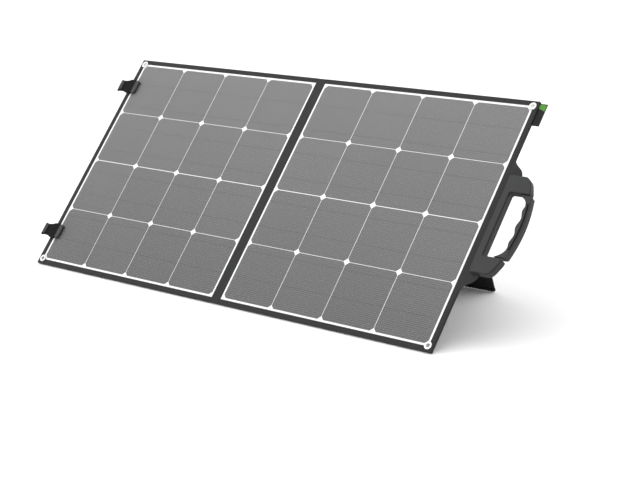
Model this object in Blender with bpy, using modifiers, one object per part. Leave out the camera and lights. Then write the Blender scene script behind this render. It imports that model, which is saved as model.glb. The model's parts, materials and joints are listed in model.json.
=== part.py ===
"""Foldable solar panel: two hinged halves on kickstands, with a swinging carry grip and two strap latches.

The panel's own axes are u (right), v (up the panel) and w (out of its front face). Its parts hang from an
empty that leans these axes back by PANEL_TILT, so that the panel stands on its bottom edge and two legs.
Everything is in metres.
"""

import math

import bmesh
import bpy
from mathutils import Matrix, Vector

# Panel halves
PANEL_TILT = math.radians(50.87)
HALF_WIDTH = 0.539
HEIGHT = 0.538
THICKNESS = 0.006
MID = HEIGHT / 2
BORDER = 0.01075
FOLD_BORDER = 0.01175
SEAM = 0.00015
GAP = 0.0003
PAST = 0.001

# Layers of one half, as (back, front) along w
FRONT_COVER = (-0.0011, 0.0)
FILM = (-0.0005, -0.0002)
CELLS = (-0.0011, -0.0008)
BACK_SHEET = (-0.0022, -0.0014)
STIFFENER = (-0.0039, -0.0025)
RIBBON = (-0.0045, -0.0042)
HEM = (-0.0045, -0.0006)
BACK_COVER = (-0.0060, -0.0048)
BACK_PATCH = (-0.0072, -0.0063)
HEM_WIDTH = 0.003
SHEET_LAP = 0.003
BOARD_EDGE = 0.009

# Solar cells
CELL = 0.1260
WAFER_RADIUS = 0.0843
CELL_PITCH = 0.127
CELLS_PER_SIDE = 4
JOINT_WIDTH = 0.008

# Eyelets and their diagonal relief in the inner layers
EYELET_INSET = 0.012
EYELET_FLANGE = 0.00825
EYELET_BARREL = 0.0043
EYELET_BORE = 0.0038
EYELET_HOLE = 0.0047

# Fold between the halves
FOLD_AXIS_W = 0.0032

# Kickstands
LEG_CENTRE = 0.270
LEG_WIDTH = 0.216
LEG_THICKNESS = 0.005
LEG_OPEN = math.radians(61.0)
LEG_HINGE_V = 0.462
LEG_HINGE_W = -0.0070
LEG_SET_BACK = 0.0006
LEG_TOP = 0.003
FOOT_HEIGHT = 0.009
SLEEVE_WALL = 0.0009
HINGE_TAPE = (0.4655, 0.4875)
STRAP_WIDTH = 0.025
STRAP_THICKNESS = 0.0012
STRAP_ON_PANEL = 0.312
STRAP_ON_LEG = 0.250
STRAP_CLEARANCE = 0.003

# Handle bracket on the right edge, with its fabric tab
TAB_REACH = 0.0305
TAB_ROOT = 0.150
TAB_SHOULDER = 0.100
TAB_ARM = 0.076
TAB_NECK = 0.020
BRACKET_LEFT = 0.549
BRACKET_SPINE = 0.5622
BRACKET_END = 0.6053
BRACKET_CORNER = 0.592
BRACKET_HALF = 0.1025
BRACKET_HOLE_HALF = 0.068
BRACKET_DEPTH = 0.0095
BRACKET_WALL = 0.0024
SCREW_PLACES = ((0.5556, 0.034), (0.5830, 0.086))
SCREW_RADIUS = 0.0015
SCREW_HEAD = 0.0030
SCREW_SEAT = 0.0024
PILOT_DEPTH = 0.0056
TAB_SCREW_HOLE = 0.0019
BOSS_RADIUS = 0.0036

# Grip
GRIP_AXIS_U = 0.601
GRIP_HALF = 0.0655
GRIP_DEPTH = 0.008
GRIP_OUTER = 0.620
GRIP_BULGE = 0.007
GRIP_INNER = 0.6060
GRIP_SPINE = 0.0040
GRIP_FOOT = 0.586
GRIP_FLARE = 0.045
PAD_HALF = 0.048
PAD_INSET = 0.0005
WAVE_HEIGHT = 0.0020
WAVE_LENGTH = 0.034
PIN_RADIUS = 0.0020
PIN_INNER = 0.0585
PIN_OUTER = 0.0745
PIN_BORE_START = 0.060

# Latches on the left edge
LATCH_PLACES = {"upper": 0.463, "lower": 0.080}
LATCH_FRONT = 0.0052
LATCH_BACK = 0.0004
LATCH_ROOT_U = 0.5405
LATCH_ROOT_LENGTH = 0.0112
LATCH_TIP_LENGTH = 0.0153
LATCH_ROOT_HALF = 0.0163
LATCH_WAIST = 0.0110
LATCH_TIP_HALF = 0.0145
LATCH_BASE = (0.0018, 0.0058)
LATCH_BASE_U = (0.5222, 0.5402)
LATCH_BASE_HALF = 0.0175
CLAMP = (GAP, 0.0062)
CLAMP_U = (0.5108, 0.5219)
CLAMP_HALF = 0.0160
TONGUE = (0.0005, 0.0015)
TONGUE_U = (0.5160, 0.5378)
TONGUE_HALF = 0.0145
RIVET_U = 0.5342
RIVET_SPREAD = 0.0105
RIVET_RADIUS = 0.0015
RIVET_HEAD = 0.0026
HOOK_PAD = (0.0055, 0.0067)
HOOK_PAD_HALF = 0.0105
KEEPER_U = (0.5255, 0.5380)
KEEPER_HALF = 0.0120

# Edge tag
TAG_REACH = 0.0175
TAG_V = (0.486, 0.5345)

# Junction box and cable pocket on the back of the left half
BOX_CENTRE = (-0.090, 0.400)
BOX_SIZE = (0.084, 0.066)
BOX_BACK = -0.0063
BOX_RIM = -0.0180
BOX_LID = (-0.0218, -0.0193)
BOX_WALL = 0.0022
GLAND_W = -0.0130
GLAND_NECK = 0.0038
GLAND_BORE = 0.0026
GLAND_FLANGE = 0.0062
GLAND_LENGTH = 0.0150
TERMINAL_BLOCK = (0.036, 0.020)
LEADS_HOLE = 0.014
LEADS_SLOT = 0.020
CABLE_V = (0.390, 0.410)
CABLE_REACH = 0.100
POCKET_U = (-0.146, -0.028)
POCKET_V = (0.110, 0.322)
POCKET_DEPTH = (-0.0118, -0.0066)
ZIP_V = 0.3375
ZIP_BACK = -0.0078
SLIDER_PLACE = (-0.136, 0.3298)

ROUND_STEPS = 16


def clear_scene():
    for obj in list(bpy.data.objects):
        bpy.data.objects.remove(obj, do_unlink=True)


def new_collection(name):
    collection = bpy.data.collections.new(name)
    bpy.context.scene.collection.children.link(collection)
    return collection


def new_material(name, colour, roughness, metallic=0.0, alpha=1.0):
    material = bpy.data.materials.new(name)
    material.use_nodes = True
    shader = material.node_tree.nodes["Principled BSDF"]
    shader.inputs["Base Color"].default_value = (*colour, 1.0)
    shader.inputs["Roughness"].default_value = roughness
    shader.inputs["Metallic"].default_value = metallic
    shader.inputs["Alpha"].default_value = alpha
    return material


class Frame:
    """An empty that carries parts. Its origin is given in the panel's own axes."""

    def __init__(self, name, origin, parent=None, turn=0.0):
        self.origin = Vector(origin)
        self.empty = bpy.data.objects.new(name, None)
        PARTS.objects.link(self.empty)
        if parent:
            self.empty.parent = parent.empty
            self.empty.location = self.origin - parent.origin
        self.empty.rotation_euler = (turn, 0.0, 0.0)

    def hold(self, obj, place=(0.0, 0.0, 0.0)):
        """Hangs obj here, with its own origin at a place given in the panel's axes."""
        obj.parent = self.empty
        obj.location = Vector(place) - self.origin
        return obj


class LegFrame(Frame):
    """A leg's own axes: x across, y up the leg to its hinge, z towards the panel when shut."""

    def hold(self, obj, place=(0.0, 0.0, 0.0)):
        obj.parent = self.empty
        obj.location = Vector(place)
        return obj


# Outlines


def rectangle(left, bottom, right, top):
    return [(left, bottom), (right, bottom), (right, top), (left, top)]


def arc(centre, radius, start, end, steps):
    """Points along an arc, both ends included. Angles are in degrees."""
    angles = [math.radians(start + (end - start) * i / steps) for i in range(steps + 1)]
    return [(centre[0] + radius * math.cos(a), centre[1] + radius * math.sin(a)) for a in angles]


def circle(centre, radius, steps=ROUND_STEPS):
    return arc(centre, radius, 0, 360, steps)[:-1]


def rounded(points, radii, steps=4):
    """A closed outline with each corner turned by a curve that starts its radius away."""
    outline = []
    for i, (corner, radius) in enumerate(zip(points, radii)):
        here = Vector(corner)
        before = Vector(points[i - 1])
        after = Vector(points[(i + 1) % len(points)])
        if radius == 0:
            outline.append(tuple(here))
            continue
        start = here + (before - here).normalized() * radius
        end = here + (after - here).normalized() * radius
        for k in range(steps + 1):
            t = k / steps
            point = start * (1 - t) ** 2 + here * 2 * t * (1 - t) + end * t**2
            outline.append(tuple(point))
    return outline


def rounded_box(left, bottom, right, top, radius, steps=3):
    return rounded(rectangle(left, bottom, right, top), [radius] * 4, steps)


def bezier(a, b, c, d, steps):
    """Points along a cubic curve, both ends included."""
    points = [Vector(p) for p in (a, b, c, d)]
    curve = []
    for k in range(steps + 1):
        t = k / steps
        weights = ((1 - t) ** 3, 3 * t * (1 - t) ** 2, 3 * t * t * (1 - t), t**3)
        curve.append(tuple(sum((p * f for p, f in zip(points, weights)), Vector((0, 0)))))
    return curve


def sided(points, side):
    """An outline drawn for the right half, or its mirror image for the left half."""
    return [(u * side, v) for u, v in points]


# Solids


def finish(obj, material):
    obj.data.materials.append(material)
    PARTS.objects.link(obj)
    return obj


def outline_curve(name, outlines, thickness):
    """A flat sheet: the first outline is its edge and the others are its holes."""
    curve = bpy.data.curves.new(name, "CURVE")
    curve.dimensions = "2D"
    curve.fill_mode = "BOTH"
    curve.extrude = thickness / 2
    for outline in outlines:
        spline = curve.splines.new("POLY")
        spline.points.add(len(outline) - 1)
        spline.use_cyclic_u = True
        for point, (x, y) in zip(spline.points, outline):
            point.co = (x, y, 0.0, 1.0)
    return bpy.data.objects.new(name, curve)


def plate(name, frame, layer, outlines, material):
    """A flat piece that fills a layer along w."""
    back, front = layer
    obj = finish(outline_curve(name, outlines, front - back), material)
    return frame.hold(obj, (0.0, 0.0, (front + back) / 2))


def mesh_of(obj):
    """The evaluated mesh of an object that isn't kept, welded and moved to where the object stands."""
    bpy.context.scene.collection.objects.link(obj)
    bpy.context.view_layer.update()
    graph = bpy.context.evaluated_depsgraph_get()
    mesh = bpy.data.meshes.new_from_object(obj.evaluated_get(graph))
    mesh.transform(obj.matrix_world)
    bpy.data.objects.remove(obj, do_unlink=True)
    work = bmesh.new()
    work.from_mesh(mesh)
    bmesh.ops.remove_doubles(work, verts=work.verts, dist=1e-6)
    bmesh.ops.recalc_face_normals(work, faces=work.faces)
    work.to_mesh(mesh)
    work.free()
    return mesh


def slab_mesh(layer, outlines):
    """The mesh of a flat piece, with each flat side as whole as it can be."""
    back, front = layer
    curve = outline_curve("slab", outlines, front - back)
    curve.location.z = (front + back) / 2
    mesh = mesh_of(curve)
    work = bmesh.new()
    work.from_mesh(mesh)
    bmesh.ops.dissolve_limit(work, angle_limit=0.01, verts=work.verts, edges=work.edges)
    work.to_mesh(mesh)
    work.free()
    return mesh


def round_rim(mesh, level, width):
    """Rounds the edges of a slab's flat side at one level along w."""
    work = bmesh.new()
    work.from_mesh(mesh)
    rim = [
        edge
        for edge in work.edges
        if all(abs(v.co.z - level) < 1e-6 for v in edge.verts)
        and edge.calc_face_angle(0.0) > 0.5
    ]
    bmesh.ops.bevel(
        work, geom=rim, offset=width, segments=2, profile=0.5, affect="EDGES", clamp_overlap=True
    )
    work.to_mesh(mesh)
    work.free()
    return mesh


def turned_mesh(profile, steps=ROUND_STEPS):
    """A profile of (radius, height) points turned about the z axis. It runs down its outer side."""
    mesh = bpy.data.meshes.new("profile")
    points = [(radius, 0.0, height) for radius, height in profile]
    closed = profile[0][0] > 0
    links = [(i, i + 1) for i in range(len(points) - 1)]
    if closed:
        links.append((len(points) - 1, 0))
    mesh.from_pydata(points, links, [])
    obj = bpy.data.objects.new("profile", mesh)
    screw = obj.modifiers.new("turn", "SCREW")
    screw.steps = steps
    screw.render_steps = steps
    screw.use_merge_vertices = True
    screw.merge_threshold = 0.00001
    return mesh_of(obj)


def join_copies(mesh, matrices):
    """One mesh that holds a copy of another at each matrix, as separate solids."""
    joined = bmesh.new()
    for matrix in matrices:
        copy = mesh.copy()
        copy.transform(matrix)
        joined.from_mesh(copy)
        bpy.data.meshes.remove(copy)
    result = bpy.data.meshes.new("group")
    joined.to_mesh(result)
    joined.free()
    return result


def mesh_part(name, frame, mesh, material, place=(0.0, 0.0, 0.0)):
    obj = bpy.data.objects.new(name, mesh)
    mesh.shade_smooth()
    mesh.set_sharp_from_angle(angle=math.radians(35))
    return frame.hold(finish(obj, material), place)


def cut(obj, mesh, name, operation="DIFFERENCE"):
    """Cuts a shape, given in the object's own axes, out of it."""
    cutter = bpy.data.objects.new(name, mesh)
    CUTTERS.objects.link(cutter)
    cutter.parent = obj
    cutter.hide_render = True
    cutter.display_type = "WIRE"
    boolean = obj.modifiers.new(name, "BOOLEAN")
    boolean.operation = operation
    boolean.solver = "EXACT"
    boolean.object = cutter


def add(obj, mesh, name):
    """Makes a shape, given in the object's own axes, one body with it."""
    cut(obj, mesh, name, "UNION")


def box_mesh(low, high):
    work = bmesh.new()
    bmesh.ops.create_cube(work, size=1.0)
    size = [b - a for a, b in zip(low, high)]
    middle = [(a + b) / 2 for a, b in zip(low, high)]
    bmesh.ops.transform(work, matrix=Matrix.Diagonal((*size, 1.0)), verts=work.verts)
    bmesh.ops.translate(work, vec=middle, verts=work.verts)
    mesh = bpy.data.meshes.new("box")
    work.to_mesh(mesh)
    work.free()
    return mesh


def along_v(u, v, w):
    """Stands a shape that was turned about z along v, at a point."""
    return Matrix.Translation((u, v, w)) @ Matrix.Rotation(-math.pi / 2, 4, "X")


# One half of the panel


def eyelet_places(side):
    return [(side * (HALF_WIDTH - EYELET_INSET), v) for v in (EYELET_INSET, HEIGHT - EYELET_INSET)]


def inner_layer_outline(side, fold_edge, outer_edge, margin):
    """A rectangle whose two outer corners are cut off to clear the eyelets' barrels."""
    low = margin
    high = HEIGHT - margin
    reach = 2 * (HALF_WIDTH - EYELET_INSET) - (EYELET_HOLE + 0.0001) * math.sqrt(2)
    cut_v = reach - outer_edge - (HALF_WIDTH - EYELET_INSET) + (HEIGHT - EYELET_INSET)
    cut_u = outer_edge - (high - cut_v)
    points = [
        (fold_edge, low),
        (cut_u, low),
        (outer_edge, HEIGHT - cut_v),
        (outer_edge, cut_v),
        (cut_u, high),
        (fold_edge, high),
    ]
    return sided(points, side)


def tab_edge(grow=0.0):
    """The upper half of the free edge of the handle's fabric tab, moved out a little.

    It swells from the panel's edge to a shoulder, and steps back in inside the bracket to clear the hole.
    """
    reach = HALF_WIDTH + TAB_REACH
    start = (HALF_WIDTH, MID + TAB_ROOT)
    lean = (HALF_WIDTH + 0.001, MID + TAB_ROOT - 0.030)
    swell = (reach - 0.0015, MID + TAB_SHOULDER + 0.030)
    curve = bezier(start, lean, swell, (reach, MID + TAB_SHOULDER), 10)
    step = [(reach, MID + TAB_ARM), (HALF_WIDTH + TAB_NECK, MID + TAB_ARM)]
    return [(u + grow, v + grow) for u, v in curve] + [(u + grow, v - grow) for u, v in step]


def tab_outline(grow):
    """The tab alone, with its free edge moved out a little."""
    upper = tab_edge(grow)
    lower = [(u, 2 * MID - v) for u, v in reversed(upper)]
    root = HALF_WIDTH - 0.010
    return [(root, upper[0][1])] + upper + lower + [(root, lower[-1][1])]


def screw_places():
    return [(u, MID + side * v) for u, v in SCREW_PLACES for side in (-1, 1)]


def rivet_places():
    return [(-RIVET_U, v + d) for v in LATCH_PLACES.values() for d in (-RIVET_SPREAD, RIVET_SPREAD)]


def front_cover_outline(side):
    """The fabric border round the window, open towards the fold, and round the eyelets' barrels."""
    fold = FOLD_BORDER + GAP
    window = HALF_WIDTH - BORDER
    top = HEIGHT - BORDER
    centre = (HALF_WIDTH - EYELET_INSET, HEIGHT - EYELET_INSET)
    slack = EYELET_INSET - BORDER
    swing = math.degrees(math.asin(slack / EYELET_HOLE))
    corner = arc(centre, EYELET_HOLE, -90 + swing, 180 - swing, 12)
    edge = [(fold, HEIGHT)]
    if side > 0:
        upper = tab_edge()
        edge += [(HALF_WIDTH, HEIGHT)] + upper
        edge += [(u, HEIGHT - v) for u, v in reversed(upper)] + [(HALF_WIDTH, 0.0)]
    else:
        edge += [(HALF_WIDTH, HEIGHT), (HALF_WIDTH, 0.0)]
    edge += [(fold, 0.0), (fold, BORDER)]
    edge += [(u, HEIGHT - v) for u, v in reversed(corner)]
    edge += corner
    edge += [(fold, top)]
    return sided(edge, side)


def front_cover(name, side, frame, material):
    """The front fabric, and its hem turned in round the three free edges."""
    holes = []
    if side > 0:
        through = [p for p in screw_places() if p[0] < HALF_WIDTH + TAB_NECK]
        holes = [circle(p, TAB_SCREW_HOLE, 12) for p in through]
    else:
        holes = [circle(p, RIVET_RADIUS + GAP, 12) for p in rivet_places()]
    fabric = slab_mesh(FRONT_COVER, [front_cover_outline(side)] + holes)
    cover = mesh_part(name, frame, fabric, material)
    outer = HALF_WIDTH
    inner = HALF_WIDTH - HEM_WIDTH
    fold = FOLD_BORDER + GAP
    hem_outline = [
        (fold, 0.0),
        (outer, 0.0),
        (outer, HEIGHT),
        (fold, HEIGHT),
        (fold, HEIGHT - HEM_WIDTH),
        (inner, HEIGHT - HEM_WIDTH),
        (inner, HEM_WIDTH),
        (fold, HEM_WIDTH),
    ]
    add(cover, slab_mesh(HEM, [sided(hem_outline, side)]), name + "_hem")


def cell_gap_outline():
    """The space where four cells meet: a diamond with four slits that stop at the cell joints."""
    half_gap = (CELL_PITCH - CELL) / 2
    corner = half_gap + CELL / 2 - math.sqrt(WAFER_RADIUS**2 - (CELL / 2) ** 2)
    slit = CELL_PITCH / 2 - JOINT_WIDTH / 2
    quarter = [(slit, half_gap), (corner, half_gap), (half_gap, corner), (half_gap, slit)]
    outline = []
    for turn in range(4):
        c, n = round(math.cos(turn * math.pi / 2)), round(math.sin(turn * math.pi / 2))
        outline += [(c * x - n * y, n * x + c * y) for x, y in quarter]
    return outline


def solar_cells(name, side, frame, material):
    """Sixteen wafers in a square grid, joined edge to edge by short interconnects."""
    middle = side * (FOLD_BORDER + HALF_WIDTH - BORDER) / 2
    half = CELL_PITCH * CELLS_PER_SIDE / 2
    edge = half - (CELL_PITCH - CELL) / 2
    block = slab_mesh(CELLS, [rectangle(middle - edge, MID - edge, middle + edge, MID + edge)])
    cells = mesh_part(name, frame, block, material)
    gap = slab_mesh((CELLS[0] - PAST, CELLS[1] + PAST), [cell_gap_outline()])
    steps = [CELL_PITCH * i - half for i in range(CELLS_PER_SIDE + 1)]
    places = [Matrix.Translation((middle + a, MID + b, 0.0)) for a in steps for b in steps]
    cut(cells, join_copies(gap, places), name + "_gaps")


def laminate(prefix, side, frame):
    """The clear film, the cells, the white back sheet and the board that stiffens them."""
    window = HALF_WIDTH - BORDER - GAP
    film = inner_layer_outline(side, FOLD_BORDER + GAP, window, BORDER + GAP)
    plate(prefix + "clear_film", frame, FILM, [film], MATERIALS["film"])
    solar_cells(prefix + "solar_cells", side, frame, MATERIALS["silicon"])
    sheet_edge = HALF_WIDTH - BORDER + SHEET_LAP
    sheet = inner_layer_outline(side, FOLD_BORDER + GAP, sheet_edge, BORDER - SHEET_LAP)
    plate(prefix + "back_sheet", frame, BACK_SHEET, [sheet], MATERIALS["back_sheet"])
    board = inner_layer_outline(side, FOLD_BORDER + GAP, HALF_WIDTH - BOARD_EDGE, BOARD_EDGE)
    plate(prefix + "stiffener_board", frame, STIFFENER, [board], MATERIALS["board"])


def back_cover(name, side, frame):
    """The back fabric, with holes for the eyelets, the rivets and the junction box's leads."""
    outline = sided(rectangle(FOLD_BORDER + GAP, 0.0, HALF_WIDTH, HEIGHT), side)
    holes = [circle(p, EYELET_HOLE) for p in eyelet_places(side)]
    if side < 0:
        holes += [circle(p, RIVET_RADIUS + GAP, 12) for p in rivet_places()]
        u, v = BOX_CENTRE
        slot = LEADS_SLOT
        holes.append(rectangle(u - slot, v - slot, u + slot, v + slot))
    plate(name, frame, BACK_COVER, [outline] + holes, MATERIALS["fabric"])


def fold_strip(name, side, frame):
    """This half's share of the flexible band over the fold, with a tunnel for the flat cable."""
    outline = sided(rectangle(SEAM, 0.0, FOLD_BORDER, HEIGHT), side)
    band = slab_mesh((BACK_COVER[0], FRONT_COVER[1]), [outline])
    strip = mesh_part(name, frame, band, MATERIALS["fabric"])
    low = (-2 * FOLD_BORDER, CABLE_V[0] - GAP, RIBBON[0] - GAP)
    high = (2 * FOLD_BORDER, CABLE_V[1] + GAP, RIBBON[1] + GAP)
    cut(strip, box_mesh(low, high), name + "_tunnel")


def flat_cable(name, side, frame):
    """The flat two-core cable that carries the current across the fold to the junction box."""
    reach = CABLE_REACH
    outline = sided(rectangle(SEAM, CABLE_V[0], reach, CABLE_V[1]), side)
    plate(name, frame, RIBBON, [outline], MATERIALS["cable"])


def eyelets(prefix, side, frame):
    """Two clenched eyelets, with a flange in front of the panel and another behind it."""
    rim = BACK_PATCH[0]
    profile = [
        (EYELET_BORE, 0.0012),
        (EYELET_FLANGE - 0.0007, 0.0012),
        (EYELET_FLANGE, 0.0007),
        (EYELET_FLANGE, GAP),
        (EYELET_BARREL, GAP),
        (EYELET_BARREL, BACK_PATCH[1]),
        (EYELET_FLANGE, BACK_PATCH[1]),
        (EYELET_FLANGE, rim),
        (EYELET_BORE, rim),
    ]
    for word, (u, v) in zip(("bottom", "top"), eyelet_places(side)):
        ring = turned_mesh(profile)
        mesh_part(prefix + word + "_eyelet", frame, ring, MATERIALS["nickel"], (u, v, 0.0))


def panel_half(prefix, side, frame):
    front_cover(prefix + "front_cover", side, frame, MATERIALS["fabric"])
    laminate(prefix, side, frame)
    back_cover(prefix + "back_cover", side, frame)
    fold_strip(prefix + "fold_strip", side, frame)
    flat_cable(prefix + "flat_cable", side, frame)
    eyelets(prefix, side, frame)


# Kickstands


def hinge_height():
    """How high the legs' hinges stand above the floor."""
    up = LEG_HINGE_V * math.sin(PANEL_TILT)
    return up + (LEG_HINGE_W + THICKNESS) * math.cos(PANEL_TILT)


def leg_length():
    """From the hinge to the foot's lowest edge, so that the open leg just meets the floor."""
    lean = PANEL_TILT + LEG_OPEN
    return (hinge_height() - LEG_SET_BACK * math.cos(lean)) / math.sin(lean)


def sleeve_mesh(low, high):
    """A fabric sleeve: a box without its lower end, given a wall thickness inwards."""
    mesh = box_mesh(low, high)
    work = bmesh.new()
    work.from_mesh(mesh)
    lower_end = [face for face in work.faces if face.normal.y < -0.5]
    bmesh.ops.delete(work, geom=lower_end, context="FACES")
    work.to_mesh(mesh)
    work.free()
    return mesh


def kickstand(prefix, side, panel_frame, leg_frame):
    """A board in a fabric sleeve with a rubber foot, its hinge tape and its stop strap."""
    half = LEG_WIDTH / 2
    front = -LEG_SET_BACK
    back = front - LEG_THICKNESS
    end = -leg_length()
    sleeve_end = end + FOOT_HEIGHT
    sleeve = sleeve_mesh((-half, sleeve_end, back), (half, -LEG_TOP, front))
    skin = mesh_part(prefix + "kickstand_sleeve", leg_frame, sleeve, MATERIALS["fabric"])
    wall = skin.modifiers.new("wall", "SOLIDIFY")
    wall.thickness = SLEEVE_WALL
    wall.offset = -1.0
    inset = SLEEVE_WALL + GAP
    board = rectangle(-half + inset, sleeve_end, half - inset, -LEG_TOP - inset)
    plate(prefix + "kickstand_board", leg_frame, (back + inset, front - inset), [board], MATERIALS["board"])
    foot = rounded_box(-half, end, half, sleeve_end - GAP, 0.002)
    plate(prefix + "kickstand_foot", leg_frame, (back, front), [foot], MATERIALS["rubber"])
    tape = rectangle(side * LEG_CENTRE - half, HINGE_TAPE[0], side * LEG_CENTRE + half, HINGE_TAPE[1])
    plate(prefix + "kickstand_hinge_tape", panel_frame, BACK_PATCH, [tape], MATERIALS["webbing"])
    stop_strap(prefix + "stop_strap", side, panel_frame)


def stop_strap(name, side, frame):
    """The webbing that stops the leg from opening further, drawn tight between panel and leg."""
    on_panel = Vector((0.0, -STRAP_ON_PANEL, 0.0))
    on_leg = Vector((0.0, -STRAP_ON_LEG * math.cos(LEG_OPEN), -STRAP_ON_LEG * math.sin(LEG_OPEN)))
    span = on_leg - on_panel
    half = span.length / 2 - STRAP_CLEARANCE
    low = (-STRAP_WIDTH / 2, -half, -STRAP_THICKNESS / 2)
    high = (STRAP_WIDTH / 2, half, STRAP_THICKNESS / 2)
    strap = mesh_part(name, frame, box_mesh(low, high), MATERIALS["webbing"])
    middle = (on_panel + on_leg) / 2
    hinge = Vector((side * LEG_CENTRE, LEG_HINGE_V, LEG_HINGE_W))
    frame.hold(strap, hinge + middle)
    strap.rotation_euler.x = math.atan2(span.z, span.y)


# Handle


def bracket_outline(inset=0.0):
    """The C-shaped bracket, or its inside."""
    i = inset
    upper = [
        (BRACKET_SPINE - i, BRACKET_HOLE_HALF + i),
        (BRACKET_END - i, BRACKET_HOLE_HALF + i),
        (BRACKET_END - 0.001 - i, BRACKET_HOLE_HALF + 0.007),
        (BRACKET_CORNER - i, BRACKET_HALF - i),
        (BRACKET_LEFT + i, BRACKET_HALF - i),
    ]
    radii = [0.004, 0.002, 0.004, 0.010, 0.003]
    if inset:
        radii = [0.0, 0.0, 0.0, 0.004, 0.0]
    lower = [(u, -v) for u, v in reversed(upper)]
    points = [(u, MID + v) for u, v in upper + lower]
    return rounded(points, radii + radii[::-1], 3)


def screw_cutter(profile):
    """The holes that all the handle's screws need in one piece."""
    places = [Matrix.Translation((u, v, 0.0)) for u, v in screw_places()]
    return join_copies(turned_mesh(profile, 12), places)


def rod_mesh(radius, start, end, steps=12):
    """A plain rod along z."""
    return turned_mesh([(0.0, end), (radius, end), (radius, start), (0.0, start)], steps)


def pin_bores(radius, inner, outer):
    """Rods along the grip's axis, one at each end of the grip."""
    rod = rod_mesh(radius, -outer, -inner)
    flip = Matrix.Rotation(math.pi, 4, "Z")
    place = along_v(GRIP_AXIS_U, MID, 0.0)
    other = Matrix.Translation((GRIP_AXIS_U, MID, 0.0)) @ flip @ Matrix.Rotation(-math.pi / 2, 4, "X")
    return join_copies(rod, [place, other])


def shell_cavity(layer):
    """The hollow inside a bracket shell, with the screw bosses left standing."""
    bosses = [circle(p, BOSS_RADIUS, 12) for p in screw_places()]
    return slab_mesh(layer, [bracket_outline(BRACKET_WALL)] + bosses)


def handle_front_shell(frame):
    mesh = round_rim(slab_mesh((GAP, BRACKET_DEPTH), [bracket_outline()]), BRACKET_DEPTH, 0.0014)
    shell = mesh_part("handle_front_shell", frame, mesh, MATERIALS["plastic"])
    cut(shell, shell_cavity((-PAST, BRACKET_DEPTH - BRACKET_WALL)), "front_cavity_cut")
    radius = SCREW_RADIUS + GAP
    pilot = [(0.0, PILOT_DEPTH), (radius, PILOT_DEPTH), (radius, -PAST), (0.0, -PAST)]
    cut(shell, screw_cutter(pilot), "front_pilot_cut")
    cut(shell, pin_bores(PIN_RADIUS + GAP, PIN_BORE_START, PIN_OUTER + GAP), "front_pin_cut")


def handle_back_shell(frame):
    mesh = round_rim(slab_mesh((-BRACKET_DEPTH, 0.0), [bracket_outline()]), -BRACKET_DEPTH, 0.0020)
    shell = mesh_part("handle_back_shell", frame, mesh, MATERIALS["plastic"])
    cut(shell, shell_cavity((-BRACKET_DEPTH + BRACKET_WALL, PAST)), "back_cavity_cut")
    cut(shell, slab_mesh((FRONT_COVER[0] - GAP, PAST), [tab_outline(GAP)]), "tab_recess_cut")
    seat = -BRACKET_DEPTH + SCREW_SEAT
    clearance = [
        (0.0, PAST),
        (SCREW_RADIUS + GAP, PAST),
        (SCREW_RADIUS + GAP, seat),
        (SCREW_HEAD + GAP, seat),
        (SCREW_HEAD + GAP, -BRACKET_DEPTH - PAST),
        (0.0, -BRACKET_DEPTH - PAST),
    ]
    cut(shell, screw_cutter(clearance), "back_screw_cut")
    cut(shell, pin_bores(PIN_RADIUS + GAP, PIN_BORE_START, PIN_OUTER + GAP), "back_pin_cut")


def handle_screws(frame):
    """Pan-head screws driven in from the back shell."""
    top = -BRACKET_DEPTH + SCREW_SEAT - GAP
    profile = [
        (0.0, 0.0050),
        (SCREW_RADIUS, 0.0046),
        (SCREW_RADIUS, top),
        (SCREW_HEAD, top),
        (SCREW_HEAD, top - 0.0016),
        (0.0, top - 0.0018),
    ]
    for number, (u, v) in enumerate(screw_places(), 1):
        screw = turned_mesh(profile, 12)
        mesh_part(f"handle_screw_{number}", frame, screw, MATERIALS["steel"], (u, v, 0.0))


def grip_inner_edge(s):
    """Where the grip's inner side lies at a distance s from its middle."""
    over = max(0.0, abs(s) - GRIP_FLARE) / (GRIP_HALF - GRIP_FLARE)
    return GRIP_INNER - 0.001 - (GRIP_INNER - 0.001 - GRIP_FOOT) * over**2


def grip_outer_edge(s):
    """Where the bow's outer side lies at a distance s from its middle."""
    return GRIP_OUTER - GRIP_BULGE * (s / (GRIP_HALF - 0.006)) ** 2


def grip_core_outline():
    """The grip's hard part: a bow with two broad feet, and a seat for the soft pad between them."""
    steps = 10
    outer = []
    for k in range(steps + 1):
        s = (GRIP_HALF - 0.006) * (1 - 2 * k / steps)
        outer.append((grip_outer_edge(s), s))
    corner_u = outer[0][0] - 0.006
    foot_end = [(GRIP_FOOT, GRIP_HALF), (corner_u, GRIP_HALF), (corner_u + 0.004, GRIP_HALF - 0.0018)]
    inner = []
    for k in range(6):
        s = GRIP_HALF - 0.0015 - (GRIP_HALF - 0.0015 - PAD_HALF - GAP) * k / 5
        inner.append((grip_inner_edge(s), s))
    seat_end = PAD_HALF + GAP
    seat = [seat_end * (1 - k / 5) for k in range(5, -1, -1)]
    upper_inner = [(grip_outer_edge(s) - GRIP_SPINE, s) for s in seat] + inner[::-1]
    lower_inner = [(u, -s) for u, s in reversed(upper_inner)][:-1]
    lower_end = [(u, -s) for u, s in reversed(foot_end)]
    points = upper_inner + foot_end + outer + lower_end + lower_inner
    return [(u, MID + s) for u, s in points]


def grip_pad_outline():
    """The soft pad, with shallow finger waves on its inner side."""
    steps = 24
    waves = []
    for k in range(steps + 1):
        s = PAD_HALF * (2 * k / steps - 1)
        ease = min(1.0, (PAD_HALF - abs(s)) / 0.010)
        swell = WAVE_HEIGHT * ease * math.cos(2 * math.pi * (s / WAVE_LENGTH + 0.5))
        waves.append((grip_inner_edge(s) + 0.001 * ease + swell, MID + s))
    back = []
    for k in range(11):
        s = PAD_HALF * (1 - k / 5)
        back.append((grip_outer_edge(s) - GRIP_SPINE - GAP, MID + s))
    return waves + back


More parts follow.
